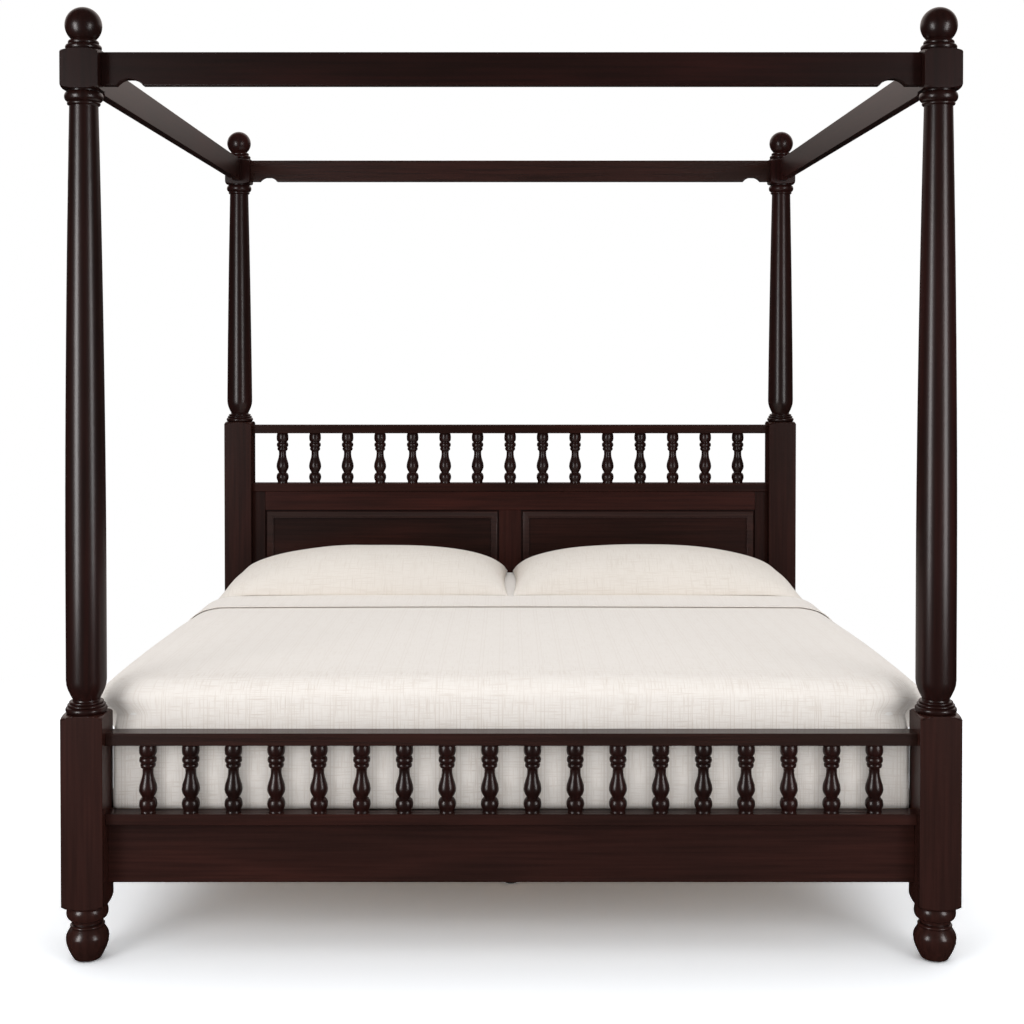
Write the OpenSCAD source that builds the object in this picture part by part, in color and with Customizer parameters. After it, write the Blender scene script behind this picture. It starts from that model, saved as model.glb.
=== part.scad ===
/* [Mattress and bedding] */
// Width of the mattress
mattress_w = 1930; // [1350:10:2050]
// Length of the mattress
mattress_l = 2030; // [1850:10:2150]
// Thickness of the mattress
mattress_t = 290; // [180:5:340]
// Radius of the mattress corners, seen from above
mattress_corner_r = 90; // [80:1:120]
// Radius round the top and bottom edges of the mattress
mattress_edge_r = 42; // [20:1:60]
// Thickness of the fitted sheet
sheet_t = 1.6; // [1:0.1:3]
// Thickness of the coverlet on the sides of the mattress
coverlet_side_t = 9; // [5:0.5:10]
// Thickness of the coverlet on top of the mattress
coverlet_top_t = 14; // [8:0.5:25]
// Extra height in the middle of the coverlet
coverlet_crown = 10; // [0:1:20]
// Distance between the pillows and the coverlet's head edge
coverlet_head_gap = 10; // [5:1:260]
// Length of a pillow, corner to corner
pillow_l = 968; // [600:2:980]
// Depth of a pillow, corner to corner
pillow_w = 572; // [400:2:600]
// Height of a pillow at its crown
pillow_t = 146; // [90:2:200]
// Height of the pillow's seam above the sheet
pillow_seam_h = 14; // [6:1:30]
// How far the ends of a pillow are drawn in between its corners
pillow_end_draw = 26; // [8:1:45]
// How far the long edges of a pillow are drawn in
pillow_edge_draw = 14; // [4:1:30]
// Distance from the pillows' back corners to the headboard
pillow_head_gap = 56; // [12:1:90]

/* [Posts] */
// Side of the square leg blocks
leg_side = 100; // [96:1:120]
// Side of the square blocks under the finials
tester_side = 90; // [88:1:100]
// Height of the leg blocks' lower end
leg_bottom_z = 132; // [125:1:160]
// Height of the foot legs' upper end
foot_leg_top_z = 596; // [580:1:760]
// Height of the head legs' upper end
head_leg_top_z = 1192; // [1190:1:1400]
// Height of the lower face of the blocks under the finials
tester_z = 2083; // [1900:1:2300]
// Height of the blocks under the finials
tester_h = 95; // [90:1:120]
// Height that the turned shoulders of a block take up
shoulder_h = 13; // [8:0.5:16]
// Greatest radius of the columns
column_r = 47.8; // [42:0.1:48.5]
// Radius of the columns at their upper end
column_top_r = 34; // [28:0.5:38]
// Height where the columns begin to taper
taper_start_z = 950; // [700:10:1100]
// Radius of the neck at the foot of the columns
column_neck_r = 32; // [28:0.5:36]
// Radius of the large ring at the foot of the columns
base_ring_r = 49.3; // [44:0.1:50]
// Radius of the ring under the upper blocks
top_ring_r = 45.6; // [40:0.1:48]
// Greatest radius of the bun feet
bun_r = 50.8; // [44:0.1:56]
// Height of the widest part of the bun feet
bun_z = 54; // [45:1:60]
// Radius of the bun feet on the floor
bun_sole_r = 32; // [28:0.5:38]
// Radius of the neck above the bun feet
foot_neck_r = 35.5; // [30:0.5:40]
// Radius of the collar under the leg blocks
foot_collar_r = 49.5; // [44:0.1:50]
// Radius of the finial balls
finial_ball_r = 43.7; // [36:0.1:48]
// Height of a finial above its block
finial_h = 103.5; // [95:0.5:120]

/* [Canopy] */
// Height of the canopy rails
canopy_rail_h = 79; // [60:1:80]
// Thickness of the canopy rails
canopy_rail_t = 26; // [20:1:40]
// Width of the arched notches in the canopy rails
notch_w = 64; // [40:1:90]
// Depth of the arched notches
notch_h = 16; // [8:1:30]
// Distance of the notches from the post centres
notch_x = 112; // [90:1:200]

/* [Footboard] */
// Depth of the gallery rails, front to back
gallery_rail_d = 48; // [40:1:60]
// Height of the footboard's top edge
footboard_top_z = 549; // [500:1:575]
// Height of the footboard's top rail
foot_rail_h = 30; // [24:1:40]
// Height of the upper face of the footboard's shelf
foot_shelf_z = 355; // [345:1:380]
// Thickness of the footboard's shelf
foot_shelf_t = 26; // [22:1:34]
// Thickness of the board under the shelf
foot_board_t = 25; // [18:1:30]
// Height of the lower edge of the boards and side rails
lower_edge_z = 183; // [160:1:200]
// Number of spindles in the footboard
foot_spindles = 18; // [6:1:22]
// Distance from a leg to the middle of the first footboard spindle
foot_spindle_gap = 97; // [60:1:120]
// Greatest diameter of the footboard spindles
foot_spindle_d = 43.4; // [30:0.1:46]

/* [Headboard] */
// Height of the headboard's top edge
headboard_top_z = 1179; // [1100:1:1180]
// Height of the headboard's two gallery rails
head_rail_h = 31; // [26:1:40]
// Height of the upper face of the lower gallery rail
gallery_z = 960; // [900:1:1000]
// Thickness of the headboard's panel frame
frame_t = 36; // [30:1:44]
// Height of the frame's top rail
frame_top_h = 70; // [50:1:110]
// Height of the frame's bottom rail
frame_bottom_h = 200; // [150:1:260]
// Width of the stiles beside the legs
stile_w = 48; // [40:1:90]
// Width of the muntin between the panels
muntin_w = 84; // [50:1:110]
// Thickness of the panels
panel_t = 14; // [10:1:18]
// Width of the moulding round each panel
moulding_w = 31; // [24:1:40]
// Number of spindles in the headboard
head_spindles = 15; // [6:1:20]
// Distance from a leg to the middle of the first headboard spindle
head_spindle_gap = 111; // [60:1:120]
// Greatest diameter of the headboard spindles
head_spindle_d = 45.7; // [30:0.1:47]

/* [Side rails and slats] */
// Thickness of the side rails
side_rail_t = 28; // [24:1:36]
// Height of the side rails' upper edge
side_rail_top_z = 355; // [345:1:380]
// Height of the slats' upper faces, where the mattress lies
slat_top_z = 340; // [330:1:343]
// Thickness of the slats
slat_t = 20; // [15:1:24]
// Width of the slats
slat_w = 70; // [50:1:100]
// Number of slats
slat_count = 14; // [8:1:16]
// Side of the ledgers that carry the slats
ledger_side = 30; // [24:1:36]
// Width of the centre beam
beam_w = 50; // [40:1:70]
// Height of the centre beam
beam_h = 60; // [45:1:70]
// Number of legs under the centre beam
beam_leg_count = 3; // [2:1:4]
// Side of the legs under the centre beam
beam_leg_side = 45; // [35:1:60]

/* [Clearances] */
// Gap between the mattress and each side rail
side_gap = 15; // [14:0.5:20]
// Gap between the mattress and the headboard or the footboard
end_gap = 12; // [12:0.5:18]
// Clearance round tenons, dowels and pins
fit_gap = 0.3; // [0.15:0.05:0.5]
// Clearance between one soft piece and the next
soft_gap = 0.4; // [0.3:0.05:1]
// Clearance of the slats to the side rails
slat_gap = 2; // [1:0.5:4]

/* [Hidden] */

// Colours
wood = "#33201e";
inner_wood = "#b08a5c";
steel = "#9a9a9c";
nylon = "#2a2a2a";
linen = "#e6ddd2";
cotton = "#efe9e1";

// Roundness of turned pieces and of soft corners
turn_fn = 48;
curve_steps = 4;
corner_steps = 6;
edge_steps = 4;
crown_steps = 4;
taper_steps = 12;
pillow_cells_l = 26;
pillow_cells_w = 16;

// Places of the posts
rail_inner_x = mattress_w / 2 + side_gap;
rail_reveal = 10;
post_x = rail_inner_x + leg_side / 2 - rail_reveal;
post_y = mattress_l / 2 + end_gap + gallery_rail_d / 2;
clear_x = 2 * post_x - leg_side;
clear_y = 2 * post_y - leg_side;
rail_x = rail_inner_x + side_rail_t / 2;
rail_local_x = post_x - rail_x;
tester_top_z = tester_z + tester_h;
finial_top_z = tester_top_z + finial_h;

// Mortises and tenons of the rails in the legs
tenon_l = 28;
gallery_tenon_t = 22;
gallery_tenon_shoulder = 4;
board_tenon_t = 13;
board_tenon_shoulder = 20;
mortise_l = tenon_l + 2;

// Tenons of the canopy rails and the pins that lock them
canopy_tenon_l = 22;
canopy_tenon_t = 14;
canopy_tenon_h = 50;
canopy_pin_r = 3;
canopy_pin_offset = tester_side / 2 - canopy_tenon_l / 2;
canopy_pin_l = 78;
canopy_z = tester_z + 11;

// Studs between legs and columns, and dowels under the finials
stud_r = 6;
stud_l = 110;
dowel_r = 10;
dowel_l = 40;

// Hook plates of the side rails and the pins that they grip
plate_t = 3;
plate_w = 20;
plate_h = 124;
hook_t = 5;
hook_l = 20;
hook_h = 32;
hook_spread = 70;
hook_pin_r = 3;
hook_pin_l = 42;
hook_pin_y = leg_side / 2 - 12;
hook_slot_l = 24;
side_rail_h = side_rail_top_z - lower_edge_z;
hook_mid_z = lower_edge_z + side_rail_h / 2;

// Floor pieces
glide_r = 20;
glide_t = 5;
sole_z = 3;
leveller_r = 16;
leveller_t = 10;
leveller_stem_r = 4;
leveller_stem_l = 26;

// Spindle tenons
spindle_tenon_r = 9;
spindle_tenon_l = 14;

// Panels and their grooves
groove_l = 12;
groove_gap = 1;
frame_tenon_l = 36;
frame_tenon_t = 12;
frame_tenon_shoulder = 12;
stile_tongue_l = 10;
stile_tongue_t = 12;

// Height of the bedding's hems above the slats
hem_rise = 10;

// Slats, ledgers, beam and screws
ledger_end_gap = 40;
slat_end_gap = 30;
cleat_h = 40;
cleat_d = 30;
cleat_side = 22;
screw_r = 2.5;
screw_head_r = 4.5;
screw_head_t = 3;
ledger_screw_l = 46;
ledger_screw_rise = 9;
ledger_screw_end = 100;
ledger_screws = 5;
cleat_screw_l = 44;
cleat_screw_inset = 12;
slat_screw_l = 36;
slat_screw_inset = 16;

function side_sign(left) = left ? -1 : 1;
function spread(count, half, i) = count == 1 ? 0 : -half + 2 * half * i / (count - 1);

// One curve of a turned outline, from station a to station b.
// round and fall are quarter ellipses, swell and taper are sine quarters,
// and wave is smooth at both ends.
function curve_point(a, b, t) =
    b[2] == "round" ? [a[0] + (b[0] - a[0]) * (1 - cos(90 * t)), a[1] + (b[1] - a[1]) * sin(90 * t)] :
    b[2] == "fall" ? [a[0] + (b[0] - a[0]) * sin(90 * t), a[1] + (b[1] - a[1]) * (1 - cos(90 * t))] :
    b[2] == "swell" ? [a[0] + (b[0] - a[0]) * t, a[1] + (b[1] - a[1]) * sin(90 * t)] :
    b[2] == "taper" ? [a[0] + (b[0] - a[0]) * t, a[1] + (b[1] - a[1]) * (1 - cos(90 * t))] :
    b[2] == "wave" ? [a[0] + (b[0] - a[0]) * t, a[1] + (b[1] - a[1]) * (1 - cos(180 * t)) / 2] :
    [b[0], b[1]];

// The outline through a list of stations [height, radius, curve that leads here]
function turned_outline(stations) = concat(
    [[stations[0][0], stations[0][1]]],
    [for (i = [1:len(stations) - 1])
        let (a = stations[i - 1], b = stations[i], steps = b[2] == "line" ? 1 : curve_steps)
        for (k = [1:steps]) curve_point(a, b, k / steps)]);

module turned(stations) {
    outline = turned_outline(stations);
    last = len(outline) - 1;
    rotate_extrude($fn = turn_fn)
        polygon(concat([[0, outline[0][0]]], [for (p = outline) [p[1], p[0]]], [[0, outline[last][0]]]));
}

// Radius of the columns at a height, with a swelling that ends at taper_start_z
taper_power = 1.75;
bulb_rise = 78;
column_end_z = tester_z - 37;
function column_radius(z) = z <= taper_start_z ? column_r :
    let (share = (z - taper_start_z) / (column_end_z - taper_start_z))
    column_r - (column_r - column_top_r) * pow(share, taper_power);

// A square block whose shoulders are turned down to a circle on the lathe
module pommel_block(side, z0, z1) {
    inner_r = side / 2 - 6;
    outer_r = side * sqrt(2) / 2 + 1;
    intersection() {
        translate([-side / 2, -side / 2, z0 - 1]) cube([side, side, z1 - z0 + 2]);
        turned([[z0, inner_r, "line"], [z0 + shoulder_h, outer_r, "round"],
            [z1 - shoulder_h, outer_r, "line"], [z1, inner_r, "fall"]]);
    }
}

// Local frame of a post: the middle of the bed lies towards +X and +Y
module at_post(left, foot) {
    translate([side_sign(left) * post_x, side_sign(foot) * post_y, 0])
        mirror([left ? 0 : 1, 0, 0]) mirror([0, foot ? 0 : 1, 0]) children();
}

// Mortise in a leg's inner side for a tenon of depth d and height h
module leg_mortise(y, z, d, h) {
    translate([leg_side / 2 - mortise_l, y - d / 2 - fit_gap, z - fit_gap])
        cube([mortise_l + 1, d + 2 * fit_gap, h + 2 * fit_gap]);
}

// Slot for the hooks of a side rail, with the bores of its two pins
module hook_slot() {
    slot_w = hook_t + 2 * fit_gap;
    slot_h = hook_spread + hook_h + 14;
    translate([rail_local_x - slot_w / 2, leg_side / 2 - hook_slot_l, hook_mid_z - slot_h / 2])
        cube([slot_w, hook_slot_l + 1, slot_h]);
    for (i = [-1, 1])
        translate([leg_side / 2 - hook_pin_l, hook_pin_y, hook_mid_z + i * hook_spread / 2])
            rotate([0, 90, 0]) cylinder(r = hook_pin_r + fit_gap / 2, h = hook_pin_l + 1, $fn = 32);
}

module bun_foot() {
    collar_z = leg_bottom_z - 18;
    turned([[sole_z, bun_sole_r, "line"], [bun_z, bun_r, "swell"], [collar_z - 34, foot_neck_r + 3, "taper"],
        [collar_z - 34, foot_neck_r + 1.5, "line"], [collar_z - 30.5, foot_neck_r + 5.5, "round"],
        [collar_z - 27, foot_neck_r + 1, "fall"], [collar_z - 24, foot_neck_r, "line"],
        [collar_z - 16, foot_neck_r + 2, "round"], [collar_z, foot_collar_r, "round"],
        [leg_bottom_z, leg_side / 2 - 8, "fall"], [leg_bottom_z + shoulder_h, leg_side / 2 - 8, "line"]]);
}

module leg_blank(top_z) {
    difference() {
        union() {
            pommel_block(leg_side, leg_bottom_z, top_z);
            bun_foot();
        }
        translate([0, 0, top_z - stud_l / 2 - 1])
            cylinder(r = stud_r + fit_gap / 2, h = stud_l / 2 + 2, $fn = 32);
        translate([0, 0, -1]) cylinder(r = glide_r + fit_gap, h = glide_t + 1, $fn = 48);
        hook_slot();
    }
}

module leg_foot(left) {
    color(wood) at_post(left, true) difference() {
        leg_blank(foot_leg_top_z);
        leg_mortise(0, footboard_top_z - foot_rail_h + gallery_tenon_shoulder,
            gallery_tenon_t, foot_rail_h - 2 * gallery_tenon_shoulder);
        leg_mortise(0, foot_shelf_z - foot_shelf_t + gallery_tenon_shoulder,
            gallery_tenon_t, foot_shelf_t - 2 * gallery_tenon_shoulder);
        leg_mortise(foot_board_t / 2, lower_edge_z + board_tenon_shoulder, board_tenon_t,
            foot_shelf_z - foot_shelf_t - lower_edge_z - 2 * board_tenon_shoulder);
    }
}

module leg_head(left) {
    color(wood) at_post(left, false) difference() {
        leg_blank(head_leg_top_z);
        for (z = [headboard_top_z, gallery_z])
            leg_mortise(0, z - head_rail_h + gallery_tenon_shoulder,
                gallery_tenon_t, head_rail_h - 2 * gallery_tenon_shoulder);
        translate([leg_side / 2 - stile_tongue_l - fit_gap, -stile_tongue_t / 2 - fit_gap,
                lower_edge_z - fit_gap])
            cube([stile_tongue_l + fit_gap + 1, stile_tongue_t + 2 * fit_gap,
                gallery_z - head_rail_h - lower_edge_z + fit_gap - 6]);
    }
}

// A turned column with its block on top, from the leg's top to the finial
module column(left, foot) {
    z0 = foot ? foot_leg_top_z : head_leg_top_z;
    bulb_z = z0 + bulb_rise;
    straight = bulb_z < taper_start_z ? [[taper_start_z, column_r, "line"]] : [];
    taper_z = max(bulb_z, taper_start_z);
    taper = [for (i = [1:taper_steps])
        let (z = taper_z + (column_end_z - taper_z) * i / taper_steps) [z, column_radius(z), "line"]];
    color(wood) at_post(left, foot) difference() {
        union() {
            turned(concat([[z0, base_ring_r - 6, "line"], [z0 + 8, base_ring_r, "round"],
                [z0 + 15, base_ring_r - 7, "fall"], [z0 + 18.5, base_ring_r - 4.5, "round"],
                [z0 + 22, base_ring_r - 11, "fall"], [z0 + 25.5, base_ring_r - 8.8, "round"],
                [z0 + 29, column_neck_r + 1, "fall"], [z0 + 32, column_neck_r, "line"],
                [bulb_z, column_radius(bulb_z), "swell"]], straight, taper,
                [[column_end_z + 1.5, column_top_r + 1.5, "line"],
                [column_end_z + 5.5, column_top_r + 5, "round"],
                [column_end_z + 10, column_top_r + 3, "fall"],
                [column_end_z + 22, top_ring_r, "round"],
                [column_end_z + 34, tester_side / 2 - 7, "fall"],
                [tester_z + shoulder_h, tester_side / 2 - 7, "line"]]));
            pommel_block(tester_side, tester_z, tester_top_z);
        }
        translate([0, 0, z0 - 1])
            cylinder(r = stud_r + fit_gap / 2, h = stud_l / 2 + 2, $fn = 32);
        translate([0, 0, tester_top_z - dowel_l - 1])
            cylinder(r = dowel_r + fit_gap, h = dowel_l + 3, $fn = 32);
        canopy_mortise();
        mirror([1, -1, 0]) canopy_mortise();
    }
}

// Mortise of one canopy rail, and the bore of the pin that locks it
module canopy_mortise() {
    z = canopy_z + (canopy_rail_h - canopy_tenon_h) / 2;
    translate([tester_side / 2 - canopy_tenon_l - 1, -canopy_tenon_t / 2 - fit_gap, z - fit_gap])
        cube([canopy_tenon_l + 2, canopy_tenon_t + 2 * fit_gap, canopy_tenon_h + 2 * fit_gap]);
    translate([canopy_pin_offset, 0, tester_top_z - canopy_pin_l])
        cylinder(r = canopy_pin_r + fit_gap / 2, h = canopy_pin_l + 1, $fn = 24);
}

module finial(left, foot) {
    z0 = tester_top_z;
    ball_z = finial_top_z - finial_ball_r;
    neck_r = 29;
    neck_z = ball_z - sqrt(finial_ball_r * finial_ball_r - neck_r * neck_r);
    color(wood) at_post(left, foot) union() {
        turned([[z0, tester_side / 2 - 7, "line"], [z0 + 8, tester_side / 2 - 2.3, "round"],
            [z0 + 14.5, tester_side / 2 - 10.5, "fall"], [z0 + 19.5, tester_side / 2 - 8.7, "round"],
            [z0 + 24.5, neck_r + 1.5, "fall"], [neck_z, neck_r, "line"], [neck_z + 2, neck_r - 3, "line"]]);
        difference() {
            translate([0, 0, ball_z]) sphere(r = finial_ball_r, $fn = 64);
            translate([0, 0, neck_z - finial_ball_r])
                cube([2 * finial_ball_r, 2 * finial_ball_r, 2 * finial_ball_r], center = true);
        }
        translate([0, 0, z0 - dowel_l]) cylinder(r = dowel_r, h = dowel_l + 1, $fn = 32);
    }
}

// A canopy rail that lies along X between blocks whose centres are span apart
module canopy_rail(span) {
    len_x = span - tester_side;
    notch_r = (notch_w * notch_w / 4 + notch_h * notch_h) / (2 * notch_h);
    tenon_z = canopy_z + (canopy_rail_h - canopy_tenon_h) / 2;
    difference() {
        union() {
            translate([0, canopy_rail_t / 2, canopy_z]) rotate([90, 0, 0]) linear_extrude(canopy_rail_t)
                difference() {
                    translate([-len_x / 2, 0]) square([len_x, canopy_rail_h]);
                    for (i = [-1, 1])
                        translate([i * (span / 2 - notch_x), notch_h - notch_r])
                            circle(r = notch_r, $fn = 96);
                }
            translate([-len_x / 2 - canopy_tenon_l, -canopy_tenon_t / 2, tenon_z])
                cube([len_x + 2 * canopy_tenon_l, canopy_tenon_t, canopy_tenon_h]);
        }
        for (i = [-1, 1])
            translate([i * (span / 2 - canopy_pin_offset), 0, canopy_z - 1])
                cylinder(r = canopy_pin_r + fit_gap / 2, h = canopy_rail_h + 2, $fn = 24);
    }
}

module canopy_rail_end(foot) {
    color(wood) translate([0, side_sign(foot) * post_y, 0]) canopy_rail(2 * post_x);
}

module canopy_rail_side(left) {
    color(wood) translate([side_sign(left) * post_x, 0, 0]) rotate([0, 0, 90]) canopy_rail(2 * post_y);
}

// A plain rail between the legs, with a tenon on each end
module tenoned_rail(d, h, tenon_d, shoulder) {
    translate([-clear_x / 2, -d / 2, 0]) cube([clear_x, d, h]);
    translate([-clear_x / 2 - tenon_l, -tenon_d / 2, shoulder])
        cube([clear_x + 2 * tenon_l, tenon_d, h - 2 * shoulder]);
}

// Bores for the tenons of a row of spindles
module spindle_bores(count, gap) {
    for (i = [0:count - 1])
        translate([spread(count, clear_x / 2 - gap, i), 0, 0])
            cylinder(r = spindle_tenon_r + fit_gap / 2, h = spindle_tenon_l + 1, $fn = 32);
}

// One turned spindle, with shares of its height and of its radius as stations
module spindle(h, d) {
    r = d / 2;
    stations = [[0, 0.84, "line"], [0.035, 0.8, "line"], [0.115, 1, "swell"], [0.205, 0.63, "fall"],
        [0.215, 0.63, "line"], [0.335, 1, "swell"], [0.575, 0.59, "wave"], [0.635, 0.6, "line"],
        [0.65, 0.68, "line"], [0.685, 0.84, "round"], [0.712, 0.75, "fall"], [0.72, 0.75, "line"],
        [0.765, 0.95, "round"], [0.815, 0.72, "fall"], [0.826, 0.72, "line"], [0.905, 0.97, "round"],
        [1, 0.8, "fall"]];
    turned([for (s = stations) [s[0] * h, s[1] * r, s[2]]]);
    translate([0, 0, -spindle_tenon_l]) cylinder(r = spindle_tenon_r, h = h + 2 * spindle_tenon_l, $fn = 32);
}

module spindle_row(count, gap, y, z0, z1, d) {
    for (i = [0:count - 1])
        translate([spread(count, clear_x / 2 - gap, i), y, z0]) spindle(z1 - z0, d);
}

module footboard_top_rail() {
    color(wood) translate([0, -post_y, footboard_top_z - foot_rail_h]) difference() {
        tenoned_rail(gallery_rail_d, foot_rail_h, gallery_tenon_t, gallery_tenon_shoulder);
        translate([0, 0, -1]) spindle_bores(foot_spindles, foot_spindle_gap);
    }
}

module footboard_shelf() {
    color(wood) translate([0, -post_y, foot_shelf_z - foot_shelf_t]) difference() {
        tenoned_rail(gallery_rail_d, foot_shelf_t, gallery_tenon_t, gallery_tenon_shoulder);
        translate([0, 0, foot_shelf_t - spindle_tenon_l]) spindle_bores(foot_spindles, foot_spindle_gap);
    }
}

module footboard_board() {
    board_h = foot_shelf_z - foot_shelf_t - lower_edge_z;
    color(wood) difference() {
        translate([0, -post_y + foot_board_t / 2, lower_edge_z])
            tenoned_rail(foot_board_t, board_h, board_tenon_t, board_tenon_shoulder);
        cleat_screw_places(true) screw_sink(cleat_screw_l);
    }
}

module footboard_spindles() {
    color(wood) spindle_row(foot_spindles, foot_spindle_gap, -post_y, foot_shelf_z,
        footboard_top_z - foot_rail_h, foot_spindle_d);
}

module headboard_top_rail() {
    color(wood) translate([0, post_y, headboard_top_z - head_rail_h]) difference() {
        tenoned_rail(gallery_rail_d, head_rail_h, gallery_tenon_t, gallery_tenon_shoulder);
        translate([0, 0, -1]) spindle_bores(head_spindles, head_spindle_gap);
    }
}

module headboard_gallery_rail() {
    color(wood) translate([0, post_y, gallery_z - head_rail_h]) difference() {
        tenoned_rail(gallery_rail_d, head_rail_h, gallery_tenon_t, gallery_tenon_shoulder);
        translate([0, 0, head_rail_h - spindle_tenon_l]) spindle_bores(head_spindles, head_spindle_gap);
    }
}

module headboard_spindles() {
    color(wood) spindle_row(head_spindles, head_spindle_gap, post_y, gallery_z,
        headboard_top_z - head_rail_h, head_spindle_d);
}

// Heights and widths of the headboard's panel frame
frame_z1 = gallery_z - head_rail_h;
frame_h = frame_z1 - lower_edge_z;
opening_z0 = lower_edge_z + frame_bottom_h;
opening_z1 = frame_z1 - frame_top_h;
frame_inner_x = clear_x / 2 - stile_w;
opening_w = frame_inner_x - muntin_w / 2;
panel_mid_x = muntin_w / 2 + opening_w / 2;
panel_slot_t = panel_t + fit_gap * 2;

// A rail of the panel frame, with tenons that enter the stiles
module frame_rail(z, h) {
    translate([-frame_inner_x, -frame_t / 2, z]) cube([2 * frame_inner_x, frame_t, h]);
    translate([-frame_inner_x - frame_tenon_l, -frame_tenon_t / 2, z + frame_tenon_shoulder])
        cube([2 * (frame_inner_x + frame_tenon_l), frame_tenon_t, h - 2 * frame_tenon_shoulder]);
}

// Mortise for one of the muntin's tenons, from height z over length l
module muntin_mortise(z, l) {
    w = muntin_w - 2 * frame_tenon_shoulder + 2 * fit_gap;
    translate([-w / 2, -frame_tenon_t / 2 - fit_gap, z]) cube([w, frame_tenon_t + 2 * fit_gap, l]);
}

// The space that the two panels take with their grooves
module panel_slots() {
    for (i = [-1, 1])
        translate([i * panel_mid_x - opening_w / 2 - groove_l, -panel_slot_t / 2, opening_z0 - groove_l])
            cube([opening_w + 2 * groove_l, panel_slot_t, opening_z1 - opening_z0 + 2 * groove_l]);
}

module frame_top_rail() {
    color(wood) translate([0, post_y, 0]) difference() {
        frame_rail(opening_z1, frame_top_h);
        panel_slots();
        muntin_mortise(opening_z1 - 1, frame_tenon_l + 1 + fit_gap);
    }
}

module frame_bottom_rail() {
    color(wood) difference() {
        translate([0, post_y, 0]) difference() {
            frame_rail(lower_edge_z, frame_bottom_h);
            panel_slots();
            muntin_mortise(opening_z0 - frame_tenon_l - fit_gap, frame_tenon_l + 1 + fit_gap);
        }
        cleat_screw_places(false) screw_sink(cleat_screw_l);
    }
}

module stile(left) {
    color(wood) translate([0, post_y, 0]) mirror([left ? 0 : 1, 0, 0]) difference() {
        union() {
            translate([-clear_x / 2, -frame_t / 2, lower_edge_z]) cube([stile_w, frame_t, frame_h]);
            translate([-clear_x / 2 - stile_tongue_l, -stile_tongue_t / 2, lower_edge_z])
                cube([stile_tongue_l + 1, stile_tongue_t, frame_h - 6]);
        }
        panel_slots();
        for (z = [[lower_edge_z, frame_bottom_h], [opening_z1, frame_top_h]])
            translate([-frame_inner_x - frame_tenon_l - fit_gap, -frame_tenon_t / 2 - fit_gap,
                    z[0] + frame_tenon_shoulder - fit_gap])
                cube([frame_tenon_l + fit_gap + 1, frame_tenon_t + 2 * fit_gap,
                    z[1] - 2 * frame_tenon_shoulder + 2 * fit_gap]);
    }
}

module muntin() {
    tenon_w = muntin_w - 2 * frame_tenon_shoulder;
    color(wood) translate([0, post_y, 0]) difference() {
        union() {
            translate([-muntin_w / 2, -frame_t / 2, opening_z0])
                cube([muntin_w, frame_t, opening_z1 - opening_z0]);
            translate([-tenon_w / 2, -frame_tenon_t / 2, opening_z0 - frame_tenon_l])
                cube([tenon_w, frame_tenon_t, opening_z1 - opening_z0 + 2 * frame_tenon_l]);
        }
        panel_slots();
    }
}

module panel(left) {
    reach = groove_l - groove_gap;
    color(wood)
        translate([side_sign(left) * panel_mid_x, post_y, (opening_z0 + opening_z1) / 2])
        cube([opening_w + 2 * reach, panel_t, opening_z1 - opening_z0 + 2 * reach], center = true);
}

// One mitred strip of the panel moulding, length l along X at its outer edge
module moulding_strip(l) {
    set_in = 5;
    rise = (frame_t - panel_t) / 2;
    section = [[set_in, 0], [set_in, rise - 3], [set_in + 2, rise - 1.5], [moulding_w - 5, rise / 2],
        [moulding_w - 4, rise / 2 + 1.5], [moulding_w - 1, rise / 2 + 1.5], [moulding_w, 0]];
    intersection() {
        translate([-l / 2, 0, 0]) rotate([90, 0, 90]) linear_extrude(l)
            polygon([for (p = section) [p[1], p[0]]]);
        rotate([90, 0, 0]) translate([0, 0, -rise - 1]) linear_extrude(rise + 2)
            polygon([[-l / 2, 0], [l / 2, 0], [l / 2 - moulding_w - 1, moulding_w + 1],
                [-l / 2 + moulding_w + 1, moulding_w + 1]]);
    }
}

module panel_moulding(left) {
    open_h = opening_z1 - opening_z0;
    color(wood)
        translate([side_sign(left) * panel_mid_x, post_y - panel_t / 2, (opening_z0 + opening_z1) / 2])
        mirror([0, 1, 0]) for (turn = [0:3]) {
            across = turn % 2 == 0;
            rotate([0, 90 * turn, 0]) translate([0, 0, -(across ? open_h : opening_w) / 2])
                moulding_strip(across ? opening_w : open_h);
        }
}

module side_rail(left) {
    plate_slot = plate_t + fit_gap;
    color(wood) mirror([left ? 0 : 1, 0, 0]) difference() {
        translate([-rail_x - side_rail_t / 2, -clear_y / 2, lower_edge_z])
            cube([side_rail_t, clear_y, side_rail_h]);
        for (i = [-1, 1])
            translate([-rail_x, i * clear_y / 2, hook_mid_z])
                cube([plate_w + 2 * fit_gap, 2 * plate_slot, plate_h + 2 * fit_gap], center = true);
        ledger_screw_places() screw_sink(ledger_screw_l);
    }
}

ledger_z = slat_top_z - slat_t - ledger_side;
ledger_len = clear_y - 2 * ledger_end_gap;

// The heads of the screws that fix the left ledger to its side rail
module ledger_screw_places() {
    for (i = [0:ledger_screws - 1])
        translate([-rail_inner_x + ledger_side, spread(ledger_screws, ledger_len / 2 - ledger_screw_end, i),
                ledger_z + ledger_screw_rise])
            rotate([0, 90, 0]) children();
}

// A screw along +Z whose head's flat face lies at z = 0 and whose tip points down
module screw(l) {
    rotate_extrude($fn = 20)
        polygon([[0, -l], [screw_r * 0.6, -l + 1], [screw_r, -l + 4], [screw_r, -screw_head_t],
            [screw_head_r, 0], [0, 0]]);
}

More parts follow.
